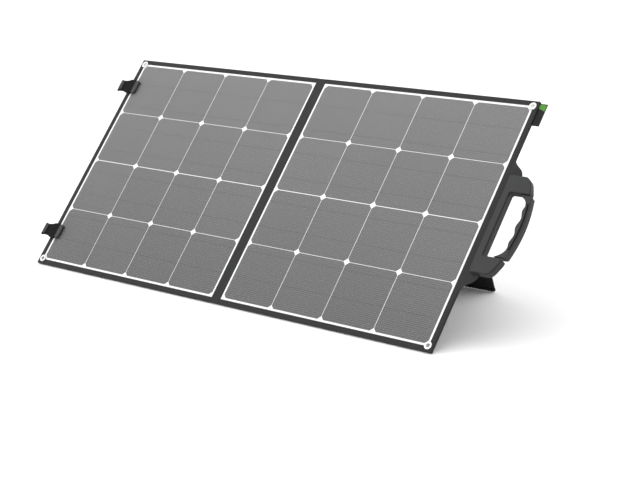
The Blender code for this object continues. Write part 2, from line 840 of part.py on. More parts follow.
def grip(frame):
    depth = (-GRIP_DEPTH, GRIP_DEPTH)
    core = slab_mesh(depth, [grip_core_outline()])
    for level in depth:
        core = round_rim(core, level, 0.0024)
    body = mesh_part("grip_core", frame, core, MATERIALS["plastic"])
    cut(body, pin_bores(PIN_RADIUS + GAP, PIN_INNER - GAP, PIN_OUTER), "grip_pin_cut")
    pad_depth = (-GRIP_DEPTH + PAD_INSET, GRIP_DEPTH - PAD_INSET)
    pad = slab_mesh(pad_depth, [grip_pad_outline()])
    for level in pad_depth:
        pad = round_rim(pad, level, 0.0012)
    mesh_part("grip_pad", frame, pad, MATERIALS["soft"])


def handle(frame, grip_frame):
    handle_front_shell(frame)
    handle_back_shell(frame)
    handle_screws(frame)
    for word, end in (("upper", 1), ("lower", -1)):
        middle = MID + end * (PIN_INNER + PIN_OUTER) / 2
        half = (PIN_OUTER - PIN_INNER) / 2
        pin = rod_mesh(PIN_RADIUS, -half, half)
        pin.transform(Matrix.Rotation(-math.pi / 2, 4, "X"))
        mesh_part(f"grip_{word}_pivot_pin", frame, pin, MATERIALS["steel"], (GRIP_AXIS_U, middle, 0.0))
    grip(grip_frame)


# Latches


def latch_half_width(distance):
    """Half the strap's width at a distance from its root: it necks in and widens again at its tip."""
    t = distance / (LATCH_ROOT_LENGTH + LATCH_TIP_LENGTH)
    return (1 - t) ** 2 * LATCH_ROOT_HALF + 2 * t * (1 - t) * LATCH_WAIST + t**2 * LATCH_TIP_HALF


def latch_segment(name, frame, v, start, end, material, layer):
    """A length of the strap, measured from its root."""
    steps = 5
    distances = [start + (end - start) * k / steps for k in range(steps + 1)]
    upper = [(-LATCH_ROOT_U - d, v + latch_half_width(d)) for d in distances]
    lower = [(u, 2 * v - y) for u, y in reversed(upper)]
    plate(name, frame, layer, [upper + lower], material)


def latch_anchor(prefix, v, frame):
    """The strap's fixed end, and the mount it is bonded to, with two riveted posts through the panel."""
    half = LATCH_BASE_HALF
    base = rounded_box(-LATCH_BASE_U[1], v - half, -LATCH_BASE_U[0], v + half, 0.002)
    plate(prefix + "base", frame, LATCH_BASE, [base], MATERIALS["soft"])
    corners = rectangle(-CLAMP_U[1], v - CLAMP_HALF, -CLAMP_U[0], v + CLAMP_HALF)
    block = rounded(corners, [0.002, 0.005, 0.005, 0.002])
    mount = round_rim(slab_mesh(CLAMP, [block]), CLAMP[1], 0.0006)
    body = mesh_part(prefix + "plate", frame, mount, MATERIALS["plastic"])
    tongue = rectangle(-TONGUE_U[1], v - TONGUE_HALF, -TONGUE_U[0], v + TONGUE_HALF)
    add(body, slab_mesh(TONGUE, [tongue]), prefix + "tongue")
    root = (TONGUE[0] + TONGUE[1]) / 2
    back = BACK_PATCH[1]
    profile = [
        (0.0, root),
        (RIVET_RADIUS, root),
        (RIVET_RADIUS, back),
        (RIVET_HEAD, back),
        (RIVET_HEAD, back - 0.0006),
        (0.0, back - 0.0008),
    ]
    posts = [Matrix.Translation((-RIVET_U, v + d, 0.0)) for d in (-RIVET_SPREAD, RIVET_SPREAD)]
    add(body, join_copies(turned_mesh(profile, 12), posts), prefix + "posts")


def latch(name, v, panel_frame, root_frame, tip_frame):
    prefix = "latch_" + name + "_"
    latch_anchor(prefix, v, panel_frame)
    strap = (LATCH_BACK, LATCH_FRONT)
    middle = LATCH_ROOT_LENGTH
    end = middle + LATCH_TIP_LENGTH
    latch_segment(prefix + "root", root_frame, v, GAP, middle - GAP / 2, MATERIALS["soft"], strap)
    latch_segment(prefix + "tip", tip_frame, v, middle + GAP / 2, end, MATERIALS["soft"], strap)
    left = -LATCH_ROOT_U - end + 0.001
    right = -LATCH_ROOT_U - middle - 0.002
    pad = rounded_box(left, v - HOOK_PAD_HALF, right, v + HOOK_PAD_HALF, 0.0015)
    plate(prefix + "hook_pad", tip_frame, HOOK_PAD, [pad], MATERIALS["loop"])


def latch_keepers(frame):
    """Loop patches behind the right edge, where the straps close when the panel is folded."""
    for name, v in LATCH_PLACES.items():
        patch = rounded_box(KEEPER_U[0], v - KEEPER_HALF, KEEPER_U[1], v + KEEPER_HALF, 0.0015)
        plate(f"latch_{name}_keeper", frame, BACK_PATCH, [patch], MATERIALS["loop"])


# Junction box and pocket on the back


def junction_box(frame):
    """A tray with a lid and a seal between them. Leads enter through its floor, and leave by the gland."""
    u, v = BOX_CENTRE
    half_u, half_v = BOX_SIZE[0] / 2, BOX_SIZE[1] / 2
    outer = rounded_box(u - half_u, v - half_v, u + half_u, v + half_v, 0.004)
    tray = slab_mesh((BOX_RIM, BOX_BACK), [outer])
    base = mesh_part("junction_box_base", frame, tray, MATERIALS["box_plastic"])
    side_u, side_v = half_u - BOX_WALL, half_v - BOX_WALL
    inner = rectangle(u - side_u, v - side_v, u + side_u, v + side_v)
    cut(base, slab_mesh((BOX_RIM - PAST, BOX_BACK - BOX_WALL), [inner]), "box_cavity_cut")
    leads = rectangle(u - LEADS_HOLE, v - LEADS_HOLE, u + LEADS_HOLE, v + LEADS_HOLE)
    floor = (BOX_BACK - BOX_WALL - PAST, BOX_BACK + PAST)
    cut(base, slab_mesh(floor, [leads]), "box_leads_cut")
    hole = rod_mesh(GLAND_NECK + GAP, -0.004, 0.004, ROUND_STEPS)
    hole.transform(along_v(u, v - half_v, GLAND_W))
    cut(base, hole, "gland_cut")
    seal_layer = (BOX_LID[1] + GAP, BOX_RIM - GAP)
    plate("junction_box_seal", frame, seal_layer, [outer, inner], MATERIALS["rubber"])
    lid = round_rim(slab_mesh(BOX_LID, [outer]), BOX_LID[0], 0.0012)
    mesh_part("junction_box_lid", frame, lid, MATERIALS["box_plastic"])


def terminal_block(frame):
    """The block that joins the ribbons to the outgoing lead, with its bypass diode."""
    u, v = BOX_CENTRE
    front = BOX_BACK - BOX_WALL - GAP
    half_u, half_v = TERMINAL_BLOCK[0] / 2, TERMINAL_BLOCK[1] / 2
    block = box_mesh((u - half_u, v - half_v, BOX_RIM + 0.002), (u + half_u, v + half_v, front))
    mesh_part("terminal_block", frame, block, MATERIALS["box_plastic"])


def cable_gland(frame):
    """A round gland in the box's lower wall, open right through for the outgoing lead."""
    u, v = BOX_CENTRE
    wall = BOX_SIZE[1] / 2
    inner_end = -BOX_WALL - 0.0038
    profile = [
        (GLAND_BORE, GLAND_LENGTH),
        (GLAND_BORE + 0.0014, GLAND_LENGTH),
        (GLAND_FLANGE, GLAND_LENGTH - 0.0035),
        (GLAND_FLANGE, GAP),
        (GLAND_NECK, GAP),
        (GLAND_NECK, inner_end),
        (GLAND_BORE, inner_end),
    ]
    mesh = turned_mesh(profile)
    mesh.transform(Matrix.Translation((u, v - wall, GLAND_W)) @ Matrix.Rotation(math.pi / 2, 4, "X"))
    mesh_part("cable_gland", frame, mesh, MATERIALS["box_plastic"])


def cable_pocket(frame, slider_frame):
    """A slack pocket sewn below the junction box, closed by a zip along its top."""
    left, right = POCKET_U
    tape_layer = (ZIP_BACK, BACK_PATCH[1])
    tape = slab_mesh(tape_layer, [rounded_box(left, POCKET_V[0], right, ZIP_V, 0.004)])
    pocket = mesh_part("cable_pocket", frame, tape, MATERIALS["fabric"])
    pouch = slab_mesh(POCKET_DEPTH, [rounded_box(left, POCKET_V[0], right, POCKET_V[1], 0.010)])
    add(pocket, round_rim(pouch, POCKET_DEPTH[0], 0.0030), "pouch")
    slider = rounded(
        [(-0.0045, -0.0040), (0.0045, -0.0030), (0.0045, 0.0030), (-0.0045, 0.0040)], [0.001] * 4, 2
    )
    body = slab_mesh((ZIP_BACK - 0.0031, ZIP_BACK - GAP), [slider])
    mesh_part("zip_slider", slider_frame, body, MATERIALS["steel"], slider_frame.origin)


def edge_tag(frame):
    """A folded fabric tag sewn into the right edge seam."""
    outline = rectangle(HALF_WIDTH + GAP, TAG_V[0], HALF_WIDTH + TAG_REACH, TAG_V[1])
    plate("edge_tag", frame, (-0.0036, -0.0026), [outline], MATERIALS["fabric"])


def stand_at_origin(root):
    """Moves the whole object so that its box stands centred on the origin."""
    bpy.context.view_layer.update()
    graph = bpy.context.evaluated_depsgraph_get()
    points = []
    for obj in PARTS.objects:
        if obj.type == "EMPTY":
            continue
        shown = obj.evaluated_get(graph)
        points += [shown.matrix_world @ vertex.co for vertex in shown.to_mesh().vertices]
        shown.to_mesh_clear()
    across = [point.x for point in points]
    along = [point.y for point in points]
    root.empty.location.x = -(min(across) + max(across)) / 2
    root.empty.location.y = -(min(along) + max(along)) / 2


def build():
    root = Frame("panel_axes", (0.0, 0.0, 0.0), turn=PANEL_TILT)
    root.empty.location.z = THICKNESS * math.cos(PANEL_TILT)
    left = Frame("fold_axis", (0.0, 0.0, FOLD_AXIS_W), root)
    panel_half("right_", 1, root)
    panel_half("left_", -1, left)
    for prefix, side, panel in (("right_", 1, root), ("left_", -1, left)):
        hinge = (side * LEG_CENTRE, LEG_HINGE_V, LEG_HINGE_W)
        leg = LegFrame(prefix + "leg_axis", hinge, panel, LEG_OPEN)
        kickstand(prefix, side, panel, leg)
    handle(root, Frame("grip_axis", (GRIP_AXIS_U, MID, 0.0), root))
    for name, v in LATCH_PLACES.items():
        root_u = -LATCH_ROOT_U
        bend = Frame("latch_" + name + "_root_axis", (root_u, v, LATCH_FRONT), left)
        tip_u = root_u - LATCH_ROOT_LENGTH
        tip = Frame("latch_" + name + "_tip_axis", (tip_u, v, LATCH_FRONT), bend)
        latch(name, v, left, bend, tip)
    latch_keepers(root)
    junction_box(left)
    terminal_block(left)
    cable_gland(left)
    cable_pocket(left, Frame("slider_start", (*SLIDER_PLACE, 0.0), left))
    edge_tag(root)
    stand_at_origin(root)


clear_scene()
PARTS = new_collection("foldable_solar_panel")
CUTTERS = new_collection("cutters")
MATERIALS = {
    "fabric": new_material("polyester_fabric", (0.040, 0.041, 0.042), 0.85),
    "film": new_material("clear_film", (0.95, 0.96, 0.97), 0.25, alpha=0.12),
    "silicon": new_material("silicon_cell", (0.23, 0.23, 0.23), 0.45),
    "back_sheet": new_material("white_back_sheet", (0.92, 0.92, 0.92), 0.50),
    "board": new_material("stiffener_board", (0.10, 0.10, 0.10), 0.70),
    "cable": new_material("black_flat_cable", (0.030, 0.030, 0.030), 0.55),
    "nickel": new_material("nickel_plate", (0.78, 0.78, 0.78), 0.25, 1.0),
    "steel": new_material("zinc_steel", (0.55, 0.55, 0.55), 0.35, 1.0),
    "plastic": new_material("handle_plastic", (0.060, 0.061, 0.062), 0.50),
    "box_plastic": new_material("box_plastic", (0.020, 0.020, 0.020), 0.55),
    "soft": new_material("black_rubber", (0.020, 0.020, 0.020), 0.75),
    "rubber": new_material("foot_rubber", (0.018, 0.018, 0.018), 0.80),
    "webbing": new_material("black_webbing", (0.025, 0.025, 0.026), 0.90),
    "loop": new_material("hook_and_loop", (0.035, 0.035, 0.036), 0.95),
}
build()
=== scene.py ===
"""Foldable solar panel: the visible surfaces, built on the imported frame.

Pieces are drawn in the panel's own axes, u (right), v (up the panel) and w (out of its front face), or in a
leg's own axes, and then placed. Each keeps its drawing coordinates in the point attribute "at", so that the
weaves and grains stay with it when it bends. Everything is in metres.
"""

import json
import math
import random

import bmesh
import bpy
from mathutils import Matrix, Vector, noise
from mathutils.geometry import tessellate_polygon


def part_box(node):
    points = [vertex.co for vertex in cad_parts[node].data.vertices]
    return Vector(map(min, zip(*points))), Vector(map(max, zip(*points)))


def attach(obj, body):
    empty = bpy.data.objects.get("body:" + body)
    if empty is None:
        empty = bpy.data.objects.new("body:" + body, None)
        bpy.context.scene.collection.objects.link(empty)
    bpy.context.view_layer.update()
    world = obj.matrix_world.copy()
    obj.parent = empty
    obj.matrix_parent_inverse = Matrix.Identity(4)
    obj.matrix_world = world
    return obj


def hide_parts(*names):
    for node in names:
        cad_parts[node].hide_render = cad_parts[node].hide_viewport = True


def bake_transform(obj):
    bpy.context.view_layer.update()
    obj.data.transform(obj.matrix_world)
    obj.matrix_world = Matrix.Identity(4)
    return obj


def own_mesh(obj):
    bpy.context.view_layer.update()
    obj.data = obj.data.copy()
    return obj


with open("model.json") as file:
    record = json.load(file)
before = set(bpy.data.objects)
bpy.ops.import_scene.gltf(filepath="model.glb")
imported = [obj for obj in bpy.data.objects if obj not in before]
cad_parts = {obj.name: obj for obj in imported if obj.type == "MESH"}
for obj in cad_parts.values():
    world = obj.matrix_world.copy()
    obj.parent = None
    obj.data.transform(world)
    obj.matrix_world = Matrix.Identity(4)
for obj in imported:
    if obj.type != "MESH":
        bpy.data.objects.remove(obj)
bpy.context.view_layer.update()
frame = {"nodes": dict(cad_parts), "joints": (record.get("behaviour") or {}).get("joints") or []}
JOINTS = {joint["name"]: joint for joint in frame["joints"]}
random.seed(7)

# The panel
HALF_WIDTH = 0.539
HEIGHT = 0.538
MID = HEIGHT / 2
FOLD_AXIS_W = 0.0032
BORDER = 0.01075
FOLD_BORDER = 0.01175
FOLD_SEAM = 0.0102
BORDER_SEAM_STOPS = (0.0125, 0.0135)
HEM_GAP = 0.0003
BACK = -0.0060
PATCH = (-0.0072, -0.0061)
CELL = 0.1260
WAFER_RADIUS = 0.0843
CELL_PITCH = 0.127
CELLS_PER_SIDE = 4
MIDDLE_GAP = 0.00028
EYELET_INSET = 0.012
EYELET_HOLE = 0.0047
EYELET_U = HALF_WIDTH - EYELET_INSET
EYELET_V = {"bottom": EYELET_INSET, "top": HEIGHT - EYELET_INSET}
COVER_CORNER = 0.0015
SHEET_LAP = 0.003
SHEET_LAYER = (-0.0022, -0.00095)
FILM_LAYER = (-0.0006, -0.0003)
BINDING_LAYER = (-0.0047, -0.0012)
BACK_CORNERS = (0.0003, 0.0015, 0.0015, 0.0003)
BACK_RIM = 0.022
BACK_LAP = 0.010
RIM_FRONT = -0.0048
FIELD_LAP = 0.0012
FIELD_LEVEL = -0.00565
FIELD_FRONT = -0.0050

# Kickstands
LEG_CENTRE = 0.270
LEG_WIDTH = 0.216
LEG_HINGE_V = 0.462
LEG_HINGE_W = -0.0070
LEG_OPEN = math.radians(61.0)
LEG_FRONT = -0.0006
LEG_BACK = -0.0056
LEG_TOP = 0.003
SKIN_RIM = 0.0055
SKIN_HELD = 0.006
SKIN_SUNK = 0.0004
LEG_SEAM = 0.0045
FOOT_HEIGHT = 0.009
FLAP_TOP = 0.4875
FLAP_TURN = 0.4690
FLAP_LOW_SEAM = 0.4725
FLAP_ON_LEG = 0.030
FLAP_LEG_SEAMS = (-0.0265, -0.0225)
STRAP_ON_PANEL = 0.312
STRAP_ON_LEG = 0.250
STRAP_HALF = 0.0125
STRAP_PATCH = (-0.016, -0.030, 0.016, 0.004)
CROSS_DROP = 0.013
CROSS_HALF = (0.011, 0.012)

# Handle
TAB_REACH = 0.0305
TAB_ROOT = 0.150
TAB_SHOULDER = 0.100
TAB_ARM = 0.076
TAB_NECK = 0.020
BRACKET_LEFT = 0.549
BRACKET_SPINE = 0.5622
BRACKET_END = 0.6053
BRACKET_CORNER = 0.592
BRACKET_HALF = 0.1025
BRACKET_HOLE_HALF = 0.068
BRACKET_DEPTH = 0.0095
GRIP_HALF = 0.0655
GRIP_DEPTH = 0.008
GRIP_OUTER = 0.620
GRIP_BULGE = 0.007
GRIP_INNER = 0.6060
GRIP_SPINE = 0.0040
GRIP_FOOT = 0.586
GRIP_CAP = 0.006
GRIP_FLARE = 0.045
PAD_HALF = 0.048
WAVE_HEIGHT = 0.0020
WAVE_LENGTH = 0.034

# Latches
LATCH_PLACES = {"upper": 0.463, "lower": 0.080}
LATCH_ROOT_U = 0.5405
LATCH_ROOT_LENGTH = 0.0112
LATCH_TIP_LENGTH = 0.0153
LATCH_ROOT_HALF = 0.0163
LATCH_WAIST = 0.0110
LATCH_TIP_HALF = 0.0145
LATCH_BASE_HALF = 0.0175
LATCH_BASE_END = 0.5222
LATCH_BASE_LAYER = (0.0016, 0.0058)
LATCH_LAYER = (0.0004, 0.0052)
HOOKS_HALF = 0.0105
HOOKS_LAYER = (0.0051, 0.0067)
MOUNT_U = (0.5108, 0.5219)
MOUNT_HALF = 0.0160
MOUNT_LAYER = (0.0001, 0.0062)
TONGUE_U = (0.5160, 0.5378)
TONGUE_HALF = 0.0145
TONGUE_LAYER = (0.0001, 0.0014)
KEEPER_U = (0.5255, 0.5380)
KEEPER_HALF = 0.0120
RIVET_U = 0.5342
RIVET_SPREAD = 0.0105
RIVET_HEAD = ((0.0, -0.0058), (0.0026, -0.0058), (0.0026, -0.0066), (0.0018, -0.0070), (0.0, -0.0071))

# Junction box, pocket and tag
BOX_CENTRE = (-0.090, 0.400)
BOX_SIZE = (0.084, 0.066)
POCKET_U = (-0.146, -0.028)
POCKET_V = (0.110, 0.322)
ZIP_V = 0.3375
SLIDER_U = -0.136
SLIDER_V = 0.3298
SLIDER_LAYER = (-0.0100, -0.0081)
PULL_LAYER = (-0.0112, -0.0102)
TOOTH_PITCH = 0.0026
POCKET_HEM = 0.006
HEM_BACK = -0.0078
ZIP_BACK = -0.0074
BOX_WALL = 0.0022
LID_LAYER = (-0.0218, -0.0193)
TRAY_LAYER = (-0.0180, -0.0075)
FLANGE_LAYER = (-0.0085, -0.0061)
GLAND_W = -0.0130
GLAND_PROFILE = (
    (0.0026, 0.0150), (0.0036, 0.0150), (0.0044, 0.0144), (0.0060, 0.0118), (0.0062, 0.0110),
    (0.0062, 0.0042), (0.0056, 0.0038), (0.0056, 0.0030), (0.0062, 0.0026), (0.0062, 0.0003),
    (0.0038, 0.0003), (0.0038, -0.0020), (0.0026, -0.0020),
)
TAG_V = (0.486, 0.5345)
TAG_REACH = 0.0175

# Thread, and its arch as (reach along the stitch, lift, thickness)
STITCH = 0.0027
STITCH_STEP = 0.0038
THREAD = 0.00028
THREAD_ARCH = ((-0.5, -0.6, 0.75), (-0.32, 0.35, 1.0), (0.0, 0.75, 1.0), (0.32, 0.35, 1.0), (0.5, -0.6, 0.75))
SEAM_LIFT = 0.00005

U = Vector((1.0, 0.0, 0.0))
V = Vector(JOINTS["panel_fold"]["axis"]).normalized()
W = U.cross(V)
ORIGIN = Vector(JOINTS["panel_fold"]["pos_m"]) - V * MID - W * FOLD_AXIS_W
TILT = math.atan2(V.z, V.y)
PANEL = Matrix.Translation(ORIGIN) @ Matrix.Rotation(TILT, 4, "X")
ALONG_V = Vector((0.0, 1.0, 0.0))
ALONG_W = Vector((0.0, 0.0, 1.0))
LOOKS = {}


def at(u, v, w):
    """A point of the panel's axes, in the shared frame."""
    return PANEL @ Vector((u, v, w))


def half_name(side):
    return "right" if side > 0 else "left"


def leg_axes(side):
    hinge = at(side * LEG_CENTRE, LEG_HINGE_V, LEG_HINGE_W)
    return Matrix.Translation(hinge) @ Matrix.Rotation(TILT + LEG_OPEN, 4, "X")


def leg_length():
    """From the hinge to the foot's lowest edge."""
    low = min(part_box("right_kickstand_foot")[0].z, 0.0005)
    hinge = at(0.0, LEG_HINGE_V, LEG_HINGE_W).z
    lean = TILT + LEG_OPEN
    return (hinge - low + LEG_FRONT * math.cos(lean)) / math.sin(lean)


# Outlines


def rectangle(left, bottom, right, top):
    return [(left, bottom), (right, bottom), (right, top), (left, top)]


def fractions(steps):
    """From 0 to 1 in even steps, both ends included."""
    return [k / steps for k in range(steps + 1)]


def arc(centre, radius, start, end, steps):
    """Points along an arc, both ends included. Angles are in degrees."""
    angles = [math.radians(start + (end - start) * t) for t in fractions(steps)]
    return [(centre[0] + radius * math.cos(a), centre[1] + radius * math.sin(a)) for a in angles]


def circle(centre, radius, steps=48):
    return arc(centre, radius, 0, 360, steps)[:-1]


def rounded(points, radii, steps=8):
    """A closed outline with each corner turned by a curve that starts its radius away."""
    outline = []
    for i, (corner, radius) in enumerate(zip(points, radii)):
        here = Vector(corner)
        if radius == 0:
            outline.append(tuple(here))
            continue
        start = here + (Vector(points[i - 1]) - here).normalized() * radius
        end = here + (Vector(points[(i + 1) % len(points)]) - here).normalized() * radius
        for t in fractions(steps):
            outline.append(tuple(start * (1 - t) ** 2 + here * 2 * t * (1 - t) + end * t**2))
    return outline


def rounded_box(left, bottom, right, top, radius, steps=6):
    return rounded(rectangle(left, bottom, right, top), [radius] * 4, steps)


def bezier(a, b, c, d, steps):
    """Points along a cubic curve, both ends included."""
    points = [Vector(p) for p in (a, b, c, d)]
    curve = []
    for t in fractions(steps):
        weights = ((1 - t) ** 3, 3 * t * (1 - t) ** 2, 3 * t * t * (1 - t), t**3)
        curve.append(tuple(sum((p * f for p, f in zip(points, weights)), Vector((0, 0)))))
    return curve


def area_of(outline):
    pairs = zip(outline, outline[1:] + outline[:1])
    return sum(a[0] * b[1] - b[0] * a[1] for a, b in pairs) / 2


def turned_left(outline):
    """The outline drawn anticlockwise, without repeated points."""
    kept = []
    for point in outline:
        if not kept or (Vector(point) - Vector(kept[-1])).length > 2e-5:
            kept.append(point)
    if (Vector(kept[0]) - Vector(kept[-1])).length < 2e-5:
        kept.pop()
    return kept if area_of(kept) > 0 else kept[::-1]


def sided(points, side):
    """An outline drawn for the right half, or its mirror image for the left half."""
    return [(u * side, v) for u, v in points]


def moved_in(outline, inset):
    """An outline with each of its corners moved to its left by a distance."""
    result = []
    count = len(outline)
    for i in range(count):
        here = Vector(outline[i])
        a = (here - Vector(outline[i - 1])).normalized()
        b = (Vector(outline[(i + 1) % count]) - here).normalized()
        side = Vector((-a.y - b.y, a.x + b.x))
        result.append(tuple(here + side * (2 * inset / max(side.length_squared, 0.8))))
    return result


def seam(points, level):
    """The straight runs of a sewn line through points of an outline, at one level."""
    return [[(*a, level), (*b, level)] for a, b in zip(points, points[1:])]


def edge_profile(back, front, back_round, front_round, steps=4):
    """Rings of (inset, level) from a slab's back to its front, with both edges rounded."""
    quarter = [(1 - math.sin(math.pi / 2 * t), 1 - math.cos(math.pi / 2 * t)) for t in fractions(steps)]
    rings = [(back_round * inset, back + back_round * rise) for inset, rise in quarter]
    return rings + [(front_round * inset, front - front_round * rise) for inset, rise in reversed(quarter)]


# Meshes


def to_mesh(work):
    """A mesh from a working one, with outward normals."""
    bmesh.ops.recalc_face_normals(work, faces=work.faces)
    mesh = bpy.data.meshes.new("shape")
    work.to_mesh(mesh)
    work.free()
    return mesh


def skin(work, rings, capped=False):
    """Smooth faces between successive rings of vertices, and flat ends if they are wanted."""
    for low, high in zip(rings, rings[1:]):
        for i, vertex in enumerate(low):
            j = (i + 1) % len(low)
            work.faces.new((vertex, low[j], high[j], high[i])).smooth = True
    if capped:
        work.faces.new(rings[0])
        work.faces.new(rings[-1])


def slab(outlines, rings):
    """A solid of stacked rings: each outline, its holes among them, is drawn inset at each level."""
    drawn = [turned_left(outlines[0])] + [turned_left(hole)[::-1] for hole in outlines[1:]]
    work = bmesh.new()
    rows = []
    for inset, level in rings:
        loops = [moved_in(outline, inset) for outline in drawn]
        rows.append([[work.verts.new((x, y, level)) for x, y in loop] for loop in loops])
    for wall in zip(*rows):
        skin(work, wall)
    for row in (rows[0], rows[-1]):
        flat = [vertex for ring in row for vertex in ring]
        for triangle in tessellate_polygon([[vertex.co.copy() for vertex in ring] for ring in row]):
            work.faces.new([flat[i] for i in triangle])
    return to_mesh(work)


def plain_slab(outlines, back, front, round_back=0.0002, round_front=0.0002, steps=3):
    return slab(outlines, edge_profile(back, front, round_back, round_front, steps))


def ribbon(stations, radius, corner_steps=3):
    """A strip swept through stations of (centre, across, normal, half width, half depth)."""
    work = bmesh.new()
    rows = []
    for centre, across, normal, half_width, half_depth in stations:
        ring = []
        for corner, (a, n) in enumerate(((1, 1), (-1, 1), (-1, -1), (1, -1))):
            for t in fractions(corner_steps):
                angle = (corner + t) * math.pi / 2
                x = a * (half_width - radius) + radius * math.cos(angle)
                y = n * (half_depth - radius) + radius * math.sin(angle)
                ring.append(work.verts.new(centre + across * x + normal * y))
        rows.append(ring)
    skin(work, rows, capped=True)
    return to_mesh(work)


def turned(profile, matrix, steps=48):
    """A profile of (radius, height) points turned about z. Ends at radius 0 close themselves."""
    work = bmesh.new()
    rows = []
    for radius, height in profile:
        if radius == 0:
            rows.append([work.verts.new((0.0, 0.0, height))])
            continue
        rows.append([work.verts.new((*p, height)) for p in circle((0, 0), radius, steps)])
    pairs = list(zip(rows, rows[1:]))
    if profile[0][0] > 0 and profile[-1][0] > 0:
        pairs.append((rows[-1], rows[0]))
    for low, high in pairs:
        for i in range(steps):
            j = (i + 1) % steps
            corners = [low[i % len(low)], low[j % len(low)], high[j % len(high)], high[i % len(high)]]
            unique = list(dict.fromkeys(corners))
            if len(unique) > 2:
                work.faces.new(unique).smooth = True
    mesh = to_mesh(work)
    mesh.transform(matrix)
    return mesh


def joined(meshes):
    """One mesh that holds several."""
    work = bmesh.new()
    for mesh in meshes:
        work.from_mesh(mesh)
        bpy.data.meshes.remove(mesh)
    result = bpy.data.meshes.new("group")
    work.to_mesh(result)
    work.free()
    return result


def box_at(centre, size, matrix=Matrix.Identity(4), bevel=0.0):
    """A box with a size along each axis, its edges rounded a little."""
    work = bmesh.new()
    bmesh.ops.create_cube(work, size=1.0)
    bmesh.ops.transform(work, matrix=Matrix.Diagonal((*size, 1.0)), verts=work.verts)
    if bevel:
        bmesh.ops.bevel(work, geom=work.edges, offset=bevel, segments=3, profile=0.5, affect="EDGES")
        for face in work.faces:
            face.smooth = face.calc_area() < 4 * bevel * max(size)
    bmesh.ops.translate(work, vec=centre, verts=work.verts)
    mesh = to_mesh(work)
    mesh.transform(matrix)
    return mesh


def grid_panel(left, bottom, right, top, steps_u, steps_v, back_of, front_of):
    """A closed sheet over a rectangle, whose two faces stand at levels that the functions give."""
    work = bmesh.new()
    sheets = []
    for level in (back_of, front_of):
        across = [left + (right - left) * t for t in fractions(steps_u)]
        up = [bottom + (top - bottom) * t for t in fractions(steps_v)]
        rows = [[work.verts.new((u, v, level(u, v))) for v in up] for u in across]
        for i in range(steps_u):
            for j in range(steps_v):
                corners = (rows[i][j], rows[i + 1][j], rows[i + 1][j + 1], rows[i][j + 1])
                work.faces.new(corners).smooth = True
        rim = [row[0] for row in rows] + rows[-1][1:] + [row[-1] for row in rows[-2::-1]]
        rim += rows[0][-2:0:-1]
        sheets.append(rim)
    for i in range(len(sheets[0])):
        j = (i + 1) % len(sheets[0])
        work.faces.new((sheets[0][i], sheets[0][j], sheets[1][j], sheets[1][i]))
    return to_mesh(work)


def thread_mesh(paths, out=1.0):
    """Rows of stitches along paths of points: short threads that dip into the cloth at both ends."""
    work = bmesh.new()
    normal = Vector((0.0, 0.0, out))
    for path in paths:
        start, end = (Vector(p) for p in path)
        total = (end - start).length
        count = max(1, int(total / STITCH_STEP))
        along = (end - start).normalized()
        side = along.cross(normal).normalized()
        for n in range(count):
            centre = start + along * ((n + 0.5) * total / count)
            rows = []
            for reach, lift, size in THREAD_ARCH:
                core = centre + along * (reach * STITCH) + normal * (lift * THREAD)
                ring = circle((0, 0), size * THREAD, 6)
                rows.append([work.verts.new(core + side * x + normal * y) for x, y in ring])
            skin(work, rows, capped=True)
    return to_mesh(work)


def put(name, data):
    """An object of its own in the scene."""
    obj = bpy.data.objects.new(name, data)
    bpy.context.scene.collection.objects.link(obj)
    return obj


def piece(name, mesh, look, body=None, stands_for=(), axes=PANEL):
    """Puts a mesh drawn in some axes into the scene, hangs it on the body it rides on, and hides the frame's
    parts that it stands for.
    """
    note = mesh.attributes.new("at", "FLOAT_VECTOR", "POINT")
    places = [0.0] * (3 * len(mesh.vertices))
    mesh.vertices.foreach_get("co", places)
    note.data.foreach_set("vector", places)
    mesh.transform(axes)
    mesh.name = name
    obj = put(name, mesh)
    mesh.materials.append(LOOKS[look])
    if body:
        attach(obj, body)
    if stands_for:
        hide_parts(*stands_for)
    return obj


def sew(name, paths, body, out=1.0, look="dark_thread", axes=PANEL):
    """Stitches along paths, as a piece of their own."""
    piece(name, thread_mesh(paths, out), look, body, (), axes)


# Looks


